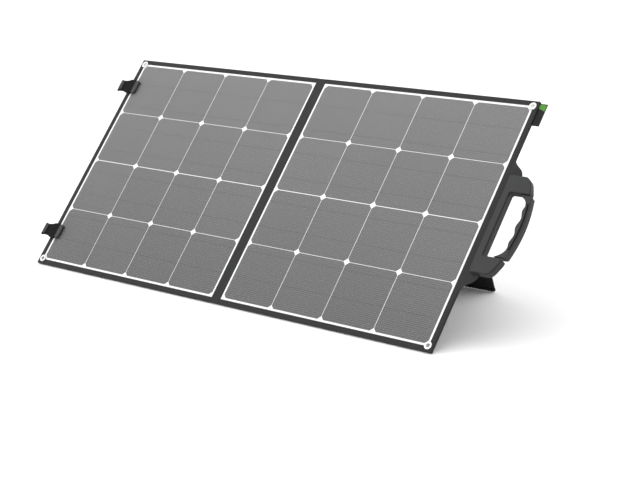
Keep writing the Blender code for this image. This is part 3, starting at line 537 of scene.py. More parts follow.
class Look:
    """A material whose surface is made of nodes only."""

    def __init__(self, name, colour, roughness, metallic=0.0, source="at", gloss=0.25):
        self.material = bpy.data.materials.new(name)
        self.material.use_nodes = True
        self.tree = self.material.node_tree
        self.shader = self.tree.nodes["Principled BSDF"]
        self.roughness = roughness
        self.set("Metallic", metallic)
        self.set("Specular IOR Level", gloss)
        self.set("Base Color", (*colour, 1.0))
        self.set("Roughness", roughness)
        if source == "at":
            self.place = self.add("ShaderNodeAttribute", attribute_name="at").outputs["Vector"]
        else:
            self.place = self.add("ShaderNodeTexCoord").outputs["Object"]

    def feed(self, socket, source):
        """Joins an input to another node's output, or sets it to a value."""
        if isinstance(source, bpy.types.NodeSocket):
            self.tree.links.new(source, socket)
        else:
            socket.default_value = source

    def set(self, name, source):
        self.feed(self.shader.inputs[name], source)

    def now(self, name):
        """What feeds one of the shader's inputs so far."""
        socket = self.shader.inputs[name]
        return socket.links[0].from_socket if socket.is_linked else tuple(socket.default_value)

    def add(self, kind, inputs=None, **settings):
        node = self.tree.nodes.new(kind)
        for key, value in settings.items():
            setattr(node, key, value)
        for key, source in (inputs or {}).items():
            self.feed(node.inputs[key], source)
        return node

    def math(self, operation, a, b=0.0):
        return self.add("ShaderNodeMath", {0: a, 1: b}, operation=operation).outputs["Value"]

    def axis(self, letter):
        return self.add("ShaderNodeSeparateXYZ", {0: self.place}).outputs[letter]

    def noise(self, scale, detail=3.0, roughness=0.6):
        inputs = {"Scale": scale, "Detail": detail, "Roughness": roughness, "Vector": self.place}
        return self.add("ShaderNodeTexNoise", inputs).outputs["Fac"]

    def ramp(self, value, low, high):
        """A value from 0 to 1, brought to the range from low to high."""
        inputs = {"Value": value, "To Min": low, "To Max": high}
        return self.add("ShaderNodeMapRange", inputs).outputs["Result"]

    def bands(self, pitch, angle, wander=0.0):
        """Smooth stripes of a pitch, whose lines are turned by an angle from the second axis."""
        turn = math.radians(angle)
        x = self.math("MULTIPLY", self.axis("X"), math.cos(turn))
        run = self.math("ADD", x, self.math("MULTIPLY", self.axis("Y"), math.sin(turn)))
        if wander:
            drift = self.math("MULTIPLY", self.noise(90.0, 2.0), wander * pitch)
            run = self.math("ADD", run, drift)
        wave = self.math("SINE", self.math("MULTIPLY", run, 2 * math.pi / pitch))
        return self.math("ADD", self.math("MULTIPLY", wave, 0.5), 0.5)

    def shade(self, value, low, high):
        """Multiplies the colour by a factor that runs from low to high."""
        inputs = {"Factor": 1.0, "A": self.now("Base Color"), "B": self.ramp(value, low, high)}
        mix = self.add("ShaderNodeMix", inputs, data_type="RGBA", blend_type="MULTIPLY")
        self.set("Base Color", mix.outputs["Result"])
        return self

    def rough(self, value, spread):
        """Varies the roughness around its value."""
        low, high = max(0.02, self.roughness - spread), min(1.0, self.roughness + spread)
        self.set("Roughness", self.ramp(value, low, high))
        return self

    def bump(self, height, distance, strength=1.0):
        inputs = {"Strength": strength, "Distance": distance, "Height": height}
        if self.shader.inputs["Normal"].is_linked:
            inputs["Normal"] = self.now("Normal")
        self.set("Normal", self.add("ShaderNodeBump", inputs).outputs["Normal"])
        return self


WEAVE_PITCH = 0.0009
TWILL_PITCH = 0.0028


def oxford(name, colour, twill=0.0):
    """Coated cloth with a plain weave, and a faint diagonal of broader stripes."""
    look = Look(name, colour, 0.78)
    warp = look.bands(WEAVE_PITCH, 0)
    weft = look.bands(WEAVE_PITCH, 90)
    weave = look.math("MAXIMUM", warp, weft)
    look.shade(weave, 0.80, 1.15)
    if twill:
        stripes = look.bands(TWILL_PITCH, 38, 0.8)
        look.shade(stripes, 1.0 - twill, 1.0 + twill)
        look.bump(stripes, 0.0004, 0.6)
    look.shade(look.noise(35.0, 4.0), 0.88, 1.12)
    look.rough(look.noise(60.0), 0.08)
    look.bump(look.noise(22.0, 3.0), 0.0008, 0.35)
    look.bump(weave, 0.00012, 0.6)
    look.set("Sheen Weight", 0.06)
    return look.material


def webbing(name, colour, pitch=0.0022):
    """Narrow woven tape with ribs along it."""
    look = Look(name, colour, 0.85)
    ribs = look.bands(pitch, 0)
    picks = look.bands(0.0011, 90)
    weave = look.math("ADD", look.math("MULTIPLY", ribs, 0.7), look.math("MULTIPLY", picks, 0.3))
    look.shade(weave, 0.70, 1.25).shade(look.noise(80.0), 0.85, 1.15)
    look.bump(weave, 0.00025, 0.8)
    return look.material


def grained(name, colour, roughness, scale=900.0, depth=0.00006, source="at", gloss=0.25):
    """Moulded plastic or rubber with a fine grain and light wear."""
    look = Look(name, colour, roughness, 0.0, source, gloss)
    grain = look.noise(scale, 2.0)
    look.shade(look.noise(28.0, 4.0), 0.93, 1.07)
    look.rough(look.noise(45.0, 5.0), 0.07)
    look.bump(grain, depth, 0.6)
    return look.material


def pile(name, colour):
    """Hook-and-loop tape: a dense short pile."""
    look = Look(name, colour, 0.95)
    fuzz = look.noise(1400.0, 4.0, 0.8)
    look.shade(fuzz, 0.4, 1.7)
    look.bump(fuzz, 0.0006, 1.0)
    look.set("Sheen Weight", 0.3)
    return look.material


def plated(name, colour, roughness, source="at"):
    """Bright metal with faint wear."""
    look = Look(name, colour, roughness, 1.0, source, 0.5)
    look.rough(look.noise(160.0, 5.0), 0.07)
    look.shade(look.noise(70.0, 3.0), 0.92, 1.06)
    look.bump(look.noise(500.0, 3.0), 0.00002, 0.5)
    return look.material


CELL_COLOUR = (0.131, 0.131, 0.132)
RIDGE_PITCH = 0.0040
RIDGE_DEPTH = 0.45
SEAM_PITCH = 0.0582
SEAM_START = 0.0663
SEAM_HALF = 0.0012


def cell_look():
    """Dark silicon with a fine ridge along u, a darker line across each cell at a regular height, and painted
    shade that makes the cells darker towards the bottom of the panel and lighter towards the top.
    """
    look = Look("cell", CELL_COLOUR, 0.42)
    climb = look.math("DIVIDE", look.axis("Y"), HEIGHT)
    ridge = look.math("SUBTRACT", look.bands(RIDGE_PITCH, 90, 0.10), 0.5)
    depth = look.math("SUBTRACT", RIDGE_DEPTH, look.math("MULTIPLY", climb, RIDGE_DEPTH * 0.75))
    look.shade(look.math("ADD", look.math("MULTIPLY", ridge, depth), 0.5), 0.5, 1.5)
    run = look.math("ADD", look.axis("Y"), SEAM_PITCH / 2 - SEAM_START + 10 * SEAM_PITCH)
    offset = look.math("SUBTRACT", look.math("MODULO", run, SEAM_PITCH), SEAM_PITCH / 2)
    line = look.math("GREATER_THAN", look.math("ABSOLUTE", offset), SEAM_HALF)
    look.shade(line, 0.85, 1.0)
    tone = look.add("ShaderNodeAttribute", attribute_name="tone")
    look.shade(tone.outputs["Fac"], 0.965, 1.035)
    look.shade(look.noise(9.0, 4.0), 0.97, 1.03)
    # Painted shade: the cells grow darker towards the bottom of the panel and lighter towards the top.
    look.shade(climb, 0.80, 1.28)
    look.rough(look.noise(25.0, 3.0), 0.05)
    return look.material


def film_look():
    """Clear film with a fine dimpled face."""
    look = Look("film", (0.30, 0.30, 0.305), 0.32)
    look.set("Alpha", 0.035)
    look.set("IOR", 1.42)
    look.bump(look.noise(14.0, 3.0), 0.0004, 0.2)
    look.rough(look.noise(30.0, 4.0), 0.05)
    return look.material


PATCH_U = 0.5468
PATCH_V = 0.510


def tag_look():
    """A woven tag, green over a patch at its upper end and black elsewhere."""
    look = Look("tag", (0.012, 0.012, 0.012), 0.75)
    weave = look.math("MAXIMUM", look.bands(0.0006, 0), look.bands(0.0006, 90))
    up = look.math("SUBTRACT", look.axis("Y"), PATCH_V)
    out = look.math("SUBTRACT", look.axis("X"), PATCH_U)
    lean = look.math("ADD", up, look.math("MULTIPLY", out, 0.35))
    green = look.math("GREATER_THAN", lean, 0.0115)
    green = look.math("MULTIPLY", green, look.math("LESS_THAN", up, 0.0225))
    green = look.math("MULTIPLY", green, look.math("LESS_THAN", out, 0.0080))
    inputs = {"Factor": green, "A": (0.010, 0.010, 0.010, 1.0), "B": (0.075, 0.230, 0.030, 1.0)}
    look.set("Base Color", look.add("ShaderNodeMix", inputs, data_type="RGBA").outputs["Result"])
    look.shade(weave, 0.75, 1.15)
    look.bump(weave, 0.0001, 0.6)
    return look.material


# Each look's name in here, its material's name, its colour and what its kind of surface takes
OXFORD = (
    ("border", "border_fabric", (0.0192, 0.0195, 0.0198), 0.45),
    ("back", "back_fabric", (0.030, 0.030, 0.031), 0.05),
    ("leg", "leg_fabric", (0.0085, 0.0085, 0.009), 0.05),
    ("pocket", "pocket_fabric", (0.026, 0.026, 0.027), 0.05),
)
WEBBING = (
    ("webbing", "webbing", (0.020, 0.020, 0.021)),
    ("binding", "binding", (0.024, 0.024, 0.025), 0.0012),
)
GRAINED = (
    ("thread", "thread", (0.055, 0.055, 0.056), 0.8, 2500.0, 0.0001),
    ("dark_thread", "dark_thread", (0.020, 0.020, 0.020), 0.8, 2500.0, 0.0001),
    ("sheet", "white_sheet", (0.90, 0.90, 0.90), 0.42, 300.0, 0.00003),
    ("plastic", "handle_plastic", (0.029, 0.0293, 0.0296), 0.50),
    ("grip", "grip_rubber", (0.034, 0.034, 0.0345), 0.60, 700.0, 0.0001),
    ("rubber", "strap_rubber", (0.0040, 0.0040, 0.0041), 0.66, 420.0, 0.0004, "at", 0.10),
    ("foot", "foot_rubber", (0.010, 0.010, 0.010), 0.70, 600.0, 0.0001),
    ("box", "box_plastic", (0.018, 0.018, 0.018), 0.50, 900.0, 0.0001),
    ("clamp", "clamp_plastic", (0.040, 0.0405, 0.041), 0.55, 500.0, 0.0003),
    ("cad_plastic", "shell_plastic", (0.029, 0.0293, 0.0296), 0.50, 900.0, 0.00006, "Object"),
    ("cad_box", "block_plastic", (0.020, 0.020, 0.020), 0.55, 900.0, 0.00006, "Object"),
    ("cad_board", "board", (0.075, 0.070, 0.062), 0.80, 600.0, 0.0002, "Object"),
    ("cad_cable", "cable", (0.020, 0.020, 0.020), 0.55, 900.0, 0.00006, "Object"),
    ("cad_seal", "seal", (0.016, 0.016, 0.016), 0.70, 900.0, 0.00006, "Object"),
)
PLATED = (
    ("nickel", "nickel", (0.74, 0.74, 0.73), 0.30),
    ("steel", "zinc_steel", (0.50, 0.50, 0.49), 0.36),
    ("cad_steel", "screw_steel", (0.50, 0.50, 0.49), 0.36, "Object"),
)


def make_looks():
    for make, table in ((oxford, OXFORD), (webbing, WEBBING), (grained, GRAINED), (plated, PLATED)):
        for key, *settings in table:
            LOOKS[key] = make(*settings)
    LOOKS["pile"] = pile("pile", (0.020, 0.020, 0.021))
    LOOKS["cell"] = cell_look()
    LOOKS["film"] = film_look()
    LOOKS["tag"] = tag_look()


# One half of the panel


def tab_edge():
    """The upper half of the free edge of the handle's fabric tab."""
    reach = HALF_WIDTH + TAB_REACH
    start = (HALF_WIDTH, MID + TAB_ROOT)
    lean = (HALF_WIDTH + 0.001, MID + TAB_ROOT - 0.030)
    swell = (reach - 0.0015, MID + TAB_SHOULDER + 0.030)
    curve = bezier(start, lean, swell, (reach, MID + TAB_SHOULDER), 24)
    return curve + [(reach, MID + TAB_ARM), (HALF_WIDTH + TAB_NECK, MID + TAB_ARM)]


def cover_outline(side):
    """The border round the window, open towards the fold, and round the eyelets' barrels."""
    fold = FOLD_BORDER + HEM_GAP
    centre = (EYELET_U, EYELET_V["top"])
    swing = math.degrees(math.asin((EYELET_INSET - BORDER) / EYELET_HOLE))
    corner = arc(centre, EYELET_HOLE, -90 + swing, 180 - swing, 28)
    edge = [(fold, HEIGHT)]
    if side > 0:
        upper = tab_edge()
        edge += rounded([(fold, HEIGHT), (HALF_WIDTH, HEIGHT), upper[0]], [0, COVER_CORNER, 0])[1:]
        edge += upper[1:] + [(u, HEIGHT - v) for u, v in reversed(upper)]
        edge += rounded([upper[0], (HALF_WIDTH, 0.0), (fold, 0.0)], [0, COVER_CORNER, 0])[1:]
    else:
        square = rectangle(fold, 0, HALF_WIDTH, HEIGHT)[::-1]
        edge += rounded(square, [0, COVER_CORNER, COVER_CORNER, 0])[1:]
    edge += [(fold, BORDER)]
    edge += [(u, HEIGHT - v) for u, v in reversed(corner)]
    edge += corner
    edge += [(fold, HEIGHT - BORDER)]
    return sided(edge, side)


def cut_rectangle(side, fold_edge, outer_edge, low):
    """A rectangle whose two outer corners are cut off to clear the eyelets' barrels."""
    reach = (EYELET_HOLE + 0.0002) * math.sqrt(2)
    inset = EYELET_INSET - (HALF_WIDTH - outer_edge)
    leg = inset + reach + (EYELET_INSET - low)
    points = [
        (fold_edge, low),
        (outer_edge - leg, low),
        (outer_edge, low + leg),
        (outer_edge, HEIGHT - low - leg),
        (outer_edge - leg, HEIGHT - low),
        (fold_edge, HEIGHT - low),
    ]
    return sided(points, side)


def wafer(centre):
    """A square with its corners cut by the round of the crystal."""
    half = CELL / 2
    reach = math.degrees(math.acos(half / WAFER_RADIUS))
    points = []
    for turn in range(4):
        points += arc(centre, WAFER_RADIUS, 90 * turn + reach, 90 * turn + 90 - reach, 8)
    return points


def cells(prefix, side, body):
    """Sixteen wafers in one piece, each with a tone of its own."""
    middle = side * (FOLD_BORDER + HALF_WIDTH - BORDER) / 2
    start = -CELL_PITCH * (CELLS_PER_SIDE - 1) / 2
    meshes = []
    tones = []
    for i in range(CELLS_PER_SIDE):
        for j in range(CELLS_PER_SIDE):
            rise = MIDDLE_GAP if j >= CELLS_PER_SIDE / 2 else -MIDDLE_GAP
            centre = (middle + start + i * CELL_PITCH, MID + start + j * CELL_PITCH + rise)
            mesh = slab([wafer(centre)], [(0.0, -0.0011), (0.0, -0.00085), (0.00005, -0.0008)])
            tones += [random.random()] * len(mesh.vertices)
            meshes.append(mesh)
    mesh = joined(meshes)
    mesh.attributes.new("tone", "FLOAT", "POINT").data.foreach_set("value", tones)
    piece(prefix + "cells", mesh, "cell", body, [prefix + "solar_cells"])


def laminate(prefix, side, body):
    """The white sheet, the cells on it, and the clear film in front of them."""
    fold = FOLD_BORDER + HEM_GAP
    outer = HALF_WIDTH - BORDER
    sheet = cut_rectangle(side, fold, outer + SHEET_LAP, BORDER - SHEET_LAP)
    piece(prefix + "white_sheet", plain_slab([sheet], *SHEET_LAYER), "sheet", body,
          [prefix + "back_sheet"])
    film = cut_rectangle(side, fold, outer - HEM_GAP, BORDER + HEM_GAP)
    piece(prefix + "film", plain_slab([film], *FILM_LAYER, 0.0001, 0.0001), "film", body,
          [prefix + "clear_film"])
    cells(prefix, side, body)


def ease(edge, reach):
    """0 at a cloth's held rim, and 1 from some reach inward."""
    return min(1.0, max(0.0, edge) / reach)


def ripple(size, strength, seed):
    """A height that wanders smoothly over a cloth."""

    def height(u, v):
        return strength * noise.fractal((u / size, v / size, seed), 0.5, 2.0, 3)

    return height


def back_panel(prefix, side, body):
    """The back cloth: a bound rim, and a main field that lies a little slack inside it."""
    fold = FOLD_BORDER + HEM_GAP
    lap, end, top = fold + BACK_LAP, HALF_WIDTH - BACK_RIM, HEIGHT - BACK_RIM
    outer = sided(rounded(rectangle(fold, 0.0, HALF_WIDTH, HEIGHT), BACK_CORNERS, 4), side)
    inner = sided(rounded_box(lap, BACK_RIM, end, top, 0.003), side)
    holes = [sided(circle((EYELET_U, v), EYELET_HOLE), side) for v in EYELET_V.values()]
    back = plain_slab([outer, inner] + holes, BACK, RIM_FRONT, 0.0006, 0.0003)
    piece(prefix + "back_rim", back, "binding", body, [prefix + "back_cover"])
    slack = ripple(0.09, 0.0006, 3.0 + side)

    def level(u, v):
        edge = min(abs(u) - lap, end - abs(u), v - BACK_RIM, top - v)
        return FIELD_LEVEL + max(-0.0003, min(0.0004, slack(u, v))) * ease(edge, 0.03)

    left, right = sorted((side * (lap - FIELD_LAP), side * (end + FIELD_LAP)))
    low, high = BACK_RIM - FIELD_LAP, top + FIELD_LAP
    field = grid_panel(left, low, right, high, 90, 90, level, lambda u, v: FIELD_FRONT)
    piece(prefix + "back_field", field, "back", body)
    inside = sided(rectangle(fold + 0.0028, 0.003, HALF_WIDTH - 0.003, HEIGHT - 0.003), side)
    binding = slab([outer, inside], edge_profile(*BINDING_LAYER, 0.0008, 0.0008))
    piece(prefix + "edge_binding", binding, "binding", body)
    a, b, low, high = fold + 0.008, end + 0.002, BACK_RIM - 0.002, top + 0.002
    corners = sided([(a, low), (b, low), (b, high), (a, high), (a, low)], side)
    sew(prefix + "back_seam", seam(corners, BACK - 0.0001), body, -1.0)


def front_border(prefix, side, body):
    """The border cloth, and the seam that runs round it up to the eyelets."""
    cover = plain_slab([cover_outline(side)], -0.0011, 0.0, 0.0002, 0.00045, 4)
    piece(prefix + "border", cover, "border", body, [prefix + "front_cover"])
    inset, fold = BORDER / 2, FOLD_BORDER + 0.001
    outer, top = HALF_WIDTH - inset, HEIGHT - inset
    stop, rise = BORDER_SEAM_STOPS
    lines = [
        [(fold, inset), (outer - stop, inset)],
        [(outer, inset + rise), (outer, top - rise)],
        [(outer - stop, top), (fold, top)],
    ]
    paths = [path for line in lines for path in seam(sided(line, side), SEAM_LIFT)]
    sew(prefix + "border_seam", paths, body, look="thread")


def eyelet_profile():
    """A rolled front rim, a barrel and a washer behind the panel, as (radius, height)."""
    profile = arc((0.0052, 0.00035), 0.0011, 180, 60, 6)
    profile = [(r - 0.0003, h) for r, h in profile]
    profile += arc((0.0067, 0.00045), 0.00145, 75, 0, 6)
    profile += [(0.00815, 0.0002), (0.0045, 0.0002), (0.0045, -0.0062), (0.00825, -0.0062)]
    profile += arc((0.0075, -0.0066), 0.00075, 0, -90, 4)
    profile += [(0.0050, -0.0072), (0.0042, -0.0071), (0.0038, -0.0066)]
    return profile


def eyelets(prefix, side, body):
    """The metal ring in each of a half's two outer corners."""
    for word, v in EYELET_V.items():
        centre = Matrix.Translation((side * EYELET_U, v, 0.0))
        ring = turned(eyelet_profile(), centre, 64)
        piece(prefix + word + "_ring", ring, "nickel", body, [prefix + word + "_eyelet"])


def fold_band():
    """The flexible band over the fold, which both halves share."""
    half = FOLD_BORDER - 0.0001
    depth = -BACK / 2
    stations = []
    for t in fractions(60):
        u = half - 2 * half * t
        stations.append((Vector((u, MID, -depth)), ALONG_V, ALONG_W, MID, depth))
    band = piece("fold_band", ribbon(stations, 0.0010, 4), "border", None,
                 ["right_fold_strip", "left_fold_strip"])
    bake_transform(band)
    for side in (1, -1):
        word = half_name(side)
        for face, w, out in (("front", SEAM_LIFT, 1.0), ("back", BACK - SEAM_LIFT, -1.0)):
            line = seam([(side * FOLD_SEAM, 0.004), (side * FOLD_SEAM, HEIGHT - 0.004)], w)
            sew("fold_" + word + "_" + face + "_seam", line, word + "_panel", out, "thread")


# Kickstands


def kickstand(side):
    """A board leg in a cloth sleeve, with a slack skin and a seam on each face."""
    word = half_name(side)
    panel, leg = word + "_panel", word + "_kickstand"
    axes = leg_axes(side)
    half = LEG_WIDTH / 2
    end = -leg_length() + FOOT_HEIGHT
    outline = rounded(rectangle(-half, end, half, -LEG_TOP), [0.0015, 0.0015, 0.003, 0.003], 5)
    sleeve = plain_slab([outline], LEG_BACK + 0.0004, LEG_FRONT - 0.0002, 0.0016, 0.0016, 5)
    piece(word + "_leg_core", sleeve, "leg", leg, [word + "_kickstand_sleeve"], axes)
    slack = ripple(0.07, 0.0005, 9.0 + side)
    for name, face, out in (("outer", LEG_BACK, -1.0), ("inner", LEG_FRONT, 1.0)):
        def level(x, y, face=face, out=out):
            edge = min(half - SKIN_HELD - abs(x), y - end - SKIN_HELD, -LEG_TOP - SKIN_HELD - y)
            return face - out * SKIN_SUNK + out * (SKIN_SUNK + 0.5 * slack(x, y)) * 0.8 * ease(edge, 0.02)

        def under(x, y, face=face, out=out):
            return face - out * 0.0009

        low, high = (level, under) if out < 0 else (under, level)
        left, bottom, top = SKIN_RIM - half, end + SKIN_RIM, -LEG_TOP - SKIN_RIM
        skin_mesh = grid_panel(left, bottom, -left, top, 44, 72, low, high)
        piece(word + "_leg_" + name + "_skin", skin_mesh, "leg", leg, (), axes)
        x, low_y, high_y = half - LEG_SEAM, end + LEG_SEAM, -LEG_TOP - LEG_SEAM
        line = seam([(-x, high_y), (-x, low_y), (x, low_y), (x, high_y)], face - out * 0.00035)
        sew(word + "_leg_" + name + "_seam", line, leg, out, axes=axes)
    foot(word, leg, half, end, axes)
    hinge_flap(word, side, panel, leg, half)
    stop_strap(word, side, panel, leg)


def foot(word, leg, half, end, axes):
    """A rubber foot with ribs across its sole."""
    low = end - FOOT_HEIGHT
    outline = rounded(rectangle(-half, low + 0.0012, half, end - 0.0003), [0.002, 0.002, 0.0004, 0.0004], 5)
    meshes = [plain_slab([outline], LEG_BACK, LEG_FRONT, 0.0006, 0.0006)]
    ribs = 26
    depth = LEG_FRONT - LEG_BACK
    middle = (LEG_FRONT + LEG_BACK) / 2
    for k in range(ribs):
        x = (k + 0.5) / ribs * (2 * half - 0.008) - half + 0.004
        meshes.append(box_at((x, low + 0.0012, middle), (0.0042, 0.0024, depth - 0.0004), bevel=0.0004))
    piece(word + "_foot", joined(meshes), "foot", leg, [word + "_kickstand_foot"], axes)


def hinge_flap(word, side, panel, leg, half):
    """One cloth that is sewn to the panel, turns over the hinge and runs down the leg's outer face."""
    centre_u = side * LEG_CENTRE
    down = Vector((0.0, -math.cos(LEG_OPEN), -math.sin(LEG_OPEN)))
    out = Vector((0.0, math.sin(LEG_OPEN), -math.cos(LEG_OPEN)))
    hinge = Vector((centre_u, LEG_HINGE_V, LEG_HINGE_W))
    start_w = (PATCH[0] + PATCH[1]) / 2
    half_depth = (PATCH[1] - PATCH[0]) / 2
    on_leg = hinge + out * (half_depth - LEG_BACK) + down * (LEG_TOP + 0.0015)
    end = hinge + out * (half_depth - LEG_BACK) + down * FLAP_ON_LEG
    stations = []
    for t in fractions(11):
        v = FLAP_TOP - (FLAP_TOP - FLAP_TURN) * t
        stations.append((Vector((centre_u, v, start_w)), -ALONG_W))
    a, d = Vector((centre_u, FLAP_TURN, start_w)), on_leg
    b, c = a + Vector((0.0, -0.0030, 0.0)), d - down * 0.0026
    for t in fractions(15)[1:]:
        p = a * (1 - t) ** 3 + b * 3 * t * (1 - t) ** 2 + c * 3 * t * t * (1 - t) + d * t**3
        tangent = (b - a) * (1 - t) ** 2 + (c - b) * 2 * t * (1 - t) + (d - c) * t * t
        stations.append((p, -U.cross(tangent.normalized())))
    for t in fractions(8)[1:]:
        stations.append((on_leg + (end - on_leg) * t, out))
    rows = [(p, U, n.normalized(), half - 0.0002, half_depth) for p, n in stations]
    flap = piece(word + "_hinge_flap", ribbon(rows, 0.0004), "leg", None,
                 [word + "_kickstand_hinge_tape"])
    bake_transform(flap)
    length = sum((q[0] - p[0]).length for p, q in zip(rows, rows[1:]))
    x, high, low = half - 0.004, FLAP_TOP - 0.003, FLAP_LOW_SEAM
    lines = [[(centre_u - x, v), (centre_u + x, v)] for v in (high, low)]
    lines += [[(centre_u + s * x, high), (centre_u + s * x, low)] for s in (-1, 1)]
    paths = [path for line in lines for path in seam(line, PATCH[0] - SEAM_LIFT)]
    sew(word + "_flap_seam", paths, panel, -1.0)
    z = LEG_BACK - 2 * half_depth - SEAM_LIFT
    paths = [path for y in FLAP_LEG_SEAMS for path in seam([(-x, y), (x, y)], z)]
    sew(word + "_flap_leg_seam", paths, leg, -1.0, axes=leg_axes(side))


def stop_strap(word, side, panel, leg):
    """Webbing drawn tight between the panel and the leg, and the patches it is sewn on with."""
    u = side * LEG_CENTRE
    hinge = Vector((u, LEG_HINGE_V, LEG_HINGE_W))
    on_panel = Vector((u, LEG_HINGE_V - STRAP_ON_PANEL, BACK - 0.0004))
    on_leg = hinge - Vector((0.0, math.cos(LEG_OPEN), math.sin(LEG_OPEN))) * STRAP_ON_LEG
    span = on_leg - on_panel
    normal = U.cross(span.normalized())
    rows = []
    for t in fractions(60):
        sway = 0.0010 * math.sin(math.pi * t)
        twist = Matrix.Rotation(math.radians(2.0) * math.sin(2 * math.pi * t), 3, span)
        rows.append((on_panel + span * t + U * sway, twist @ U, twist @ normal, STRAP_HALF, 0.0006))
    strap = piece(word + "_strap", ribbon(rows, 0.0004), "webbing", panel,
                  [word + "_stop_strap"])
    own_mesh(strap)
    ends = (
        ("panel", panel, PANEL, (u, on_panel.y), (BACK - 0.0009, BACK, 0.0003, 0.0002), BACK - 0.00085, -1.0),
        ("leg", leg, leg_axes(side), (0.0, -STRAP_ON_LEG),
         (LEG_FRONT - 0.0004, LEG_FRONT + 0.0003, 0.0002, 0.0003), LEG_FRONT + 0.0002, 1.0),
    )
    for name, body, axes, (x, y), layer, stitch_level, out in ends:
        left, low, right, high = STRAP_PATCH
        patch = plain_slab([rounded_box(x + left, y + low, x + right, y + high, 0.001)], *layer)
        piece(word + "_strap_" + name + "_patch", patch, "webbing", body, (), axes)
        cross = cross_stitch(x, y - CROSS_DROP, *CROSS_HALF, stitch_level)
        sew(word + "_strap_" + name + "_stitches", cross, body, out, "thread", axes)


def cross_stitch(x, y, half_x, half_y, level):
    """A box of stitches with a cross in it."""
    a, b = (x - half_x, y - half_y, level), (x + half_x, y - half_y, level)
    c, d = (x + half_x, y + half_y, level), (x - half_x, y + half_y, level)
    return [[a, b], [b, c], [c, d], [d, a], [a, c], [b, d]]


# Handle


def bracket_outline():
    """The bracket's C, open to the right."""
    upper = [
        (BRACKET_SPINE, BRACKET_HOLE_HALF),
        (BRACKET_END, BRACKET_HOLE_HALF),
        (BRACKET_END - 0.001, BRACKET_HOLE_HALF + 0.007),
        (BRACKET_CORNER, BRACKET_HALF),
        (BRACKET_LEFT, BRACKET_HALF),
    ]
    radii = [0.004, 0.002, 0.004, 0.010, 0.003]
    lower = [(u, -v) for u, v in reversed(upper)]
    return rounded([(u, MID + v) for u, v in upper + lower], radii + radii[::-1], 8)


def bracket():
    """The front shell, with a groove that runs round it just behind its face."""
    d = BRACKET_DEPTH
    rings = [(0.0003, 0.0003), (0.0, 0.0006), (0.0, d - 0.0037), (0.0004, d - 0.0035)]
    rings += [(0.0014, d - 0.0034), (0.0014, d - 0.0017), (0.0004, d - 0.0016)]
    rings += edge_profile(d - 0.0015, d, 0.0002, 0.0009, 4)
    shell = slab([bracket_outline()], rings)
    piece("bracket_front", shell, "plastic", "right_panel", ["handle_front_shell"])
    u = HALF_WIDTH + 0.0015
    line = seam([(u, MID + 0.125), (u, MID - 0.125)], SEAM_LIFT)
    sew("tab_seam", line, "right_panel", look="thread")


def grip_inner_edge(s):
    """Where the grip's inner side lies at a distance s from its middle."""
    over = max(0.0, abs(s) - GRIP_FLARE) / (GRIP_HALF - GRIP_FLARE)
    return GRIP_INNER - 0.001 - (GRIP_INNER - 0.001 - GRIP_FOOT) * over**2


def grip_outer_edge(s):
    """Where the bow's outer side lies at a distance s from its middle."""
    return GRIP_OUTER - GRIP_BULGE * (s / (GRIP_HALF - GRIP_CAP)) ** 2


def core_outline():
    """The hard bow with two broad feet, and the seat for the pad."""
    outer = []
    for t in fractions(40):
        s = (GRIP_HALF - GRIP_CAP) * (1 - 2 * t)
        outer.append((grip_outer_edge(s), s))
    cap = rounded([(GRIP_FOOT, GRIP_HALF), (outer[0][0], GRIP_HALF), outer[0]], [0, 0.0055, 0])[1:-1]
    inner = []
    start, end = GRIP_HALF - 0.0015, PAD_HALF + HEM_GAP
    for t in fractions(13):
        s = start - (start - end) * t
        inner.append((grip_inner_edge(s), s))
    seat = [(PAD_HALF + HEM_GAP) * t for t in fractions(16)]
    upper_inner = [(grip_outer_edge(s) - GRIP_SPINE + 0.0006, s) for s in seat] + inner[::-1]
    foot = [(GRIP_FOOT, GRIP_HALF)]
    lower = [(u, -s) for u, s in reversed(upper_inner[1:] + foot + cap)]
    points = upper_inner + foot + cap + outer + lower
    return [(u, MID + s) for u, s in points]


def pad_outline():
    """The soft pad, with finger waves on its inner side."""
    waves = []
    for t in fractions(96):
        s = PAD_HALF * (2 * t - 1)
        fade = ease(PAD_HALF - abs(s), 0.010)
        swell = WAVE_HEIGHT * math.cos(2 * math.pi * (s / WAVE_LENGTH + 0.5))
        waves.append((grip_inner_edge(s) + fade * (0.001 + swell), MID + s))
    back = []
    for t in fractions(32):
        s = PAD_HALF * (1 - 2 * t)
        back.append((grip_outer_edge(s) - GRIP_SPINE - 0.0020, MID + s))
    return waves + back


def grip():
    """The bow, its soft pad, and the web that fills the groove between them."""
    core = slab([core_outline()], edge_profile(-GRIP_DEPTH, GRIP_DEPTH, 0.0022, 0.0022, 5))
    piece("grip_bow", core, "plastic", "grip", ["grip_core"])
    pad = slab([pad_outline()], edge_profile(-GRIP_DEPTH + 0.0003, GRIP_DEPTH - 0.0003, 0.0013, 0.0013, 5))
    piece("grip_cushion", pad, "grip", "grip", ["grip_pad"])
    web = []
    for shift, turn in ((-0.0032, 1), (0.0018, -1)):
        for t in fractions(16):
            s = turn * PAD_HALF * (1 - 2 * t)
            web.append((grip_outer_edge(s) - GRIP_SPINE + shift, MID + s))
    web = plain_slab([web], -GRIP_DEPTH + 0.0030, GRIP_DEPTH - 0.0030)
    piece("grip_web", web, "rubber", "grip")


# Latches


def latch_half_width(distance):
    """Half the strap's width at a distance from its root: it necks in and widens again at its tip."""
    t = distance / (LATCH_ROOT_LENGTH + LATCH_TIP_LENGTH)
    return (1 - t) ** 2 * LATCH_ROOT_HALF + 2 * t * (1 - t) * LATCH_WAIST + t**2 * LATCH_TIP_HALF


def strap_rows(v, start, end, steps):
    """Stations along a latch's strap, between two distances from its root."""
    back, front = LATCH_LAYER
    rows = []
    for t in fractions(steps):
        d = start + (end - start) * t
        centre = Vector((-LATCH_ROOT_U - d, v, (back + front) / 2))
        rows.append((centre, ALONG_V, ALONG_W, latch_half_width(max(0.0, d)), (front - back) / 2))
    return rows


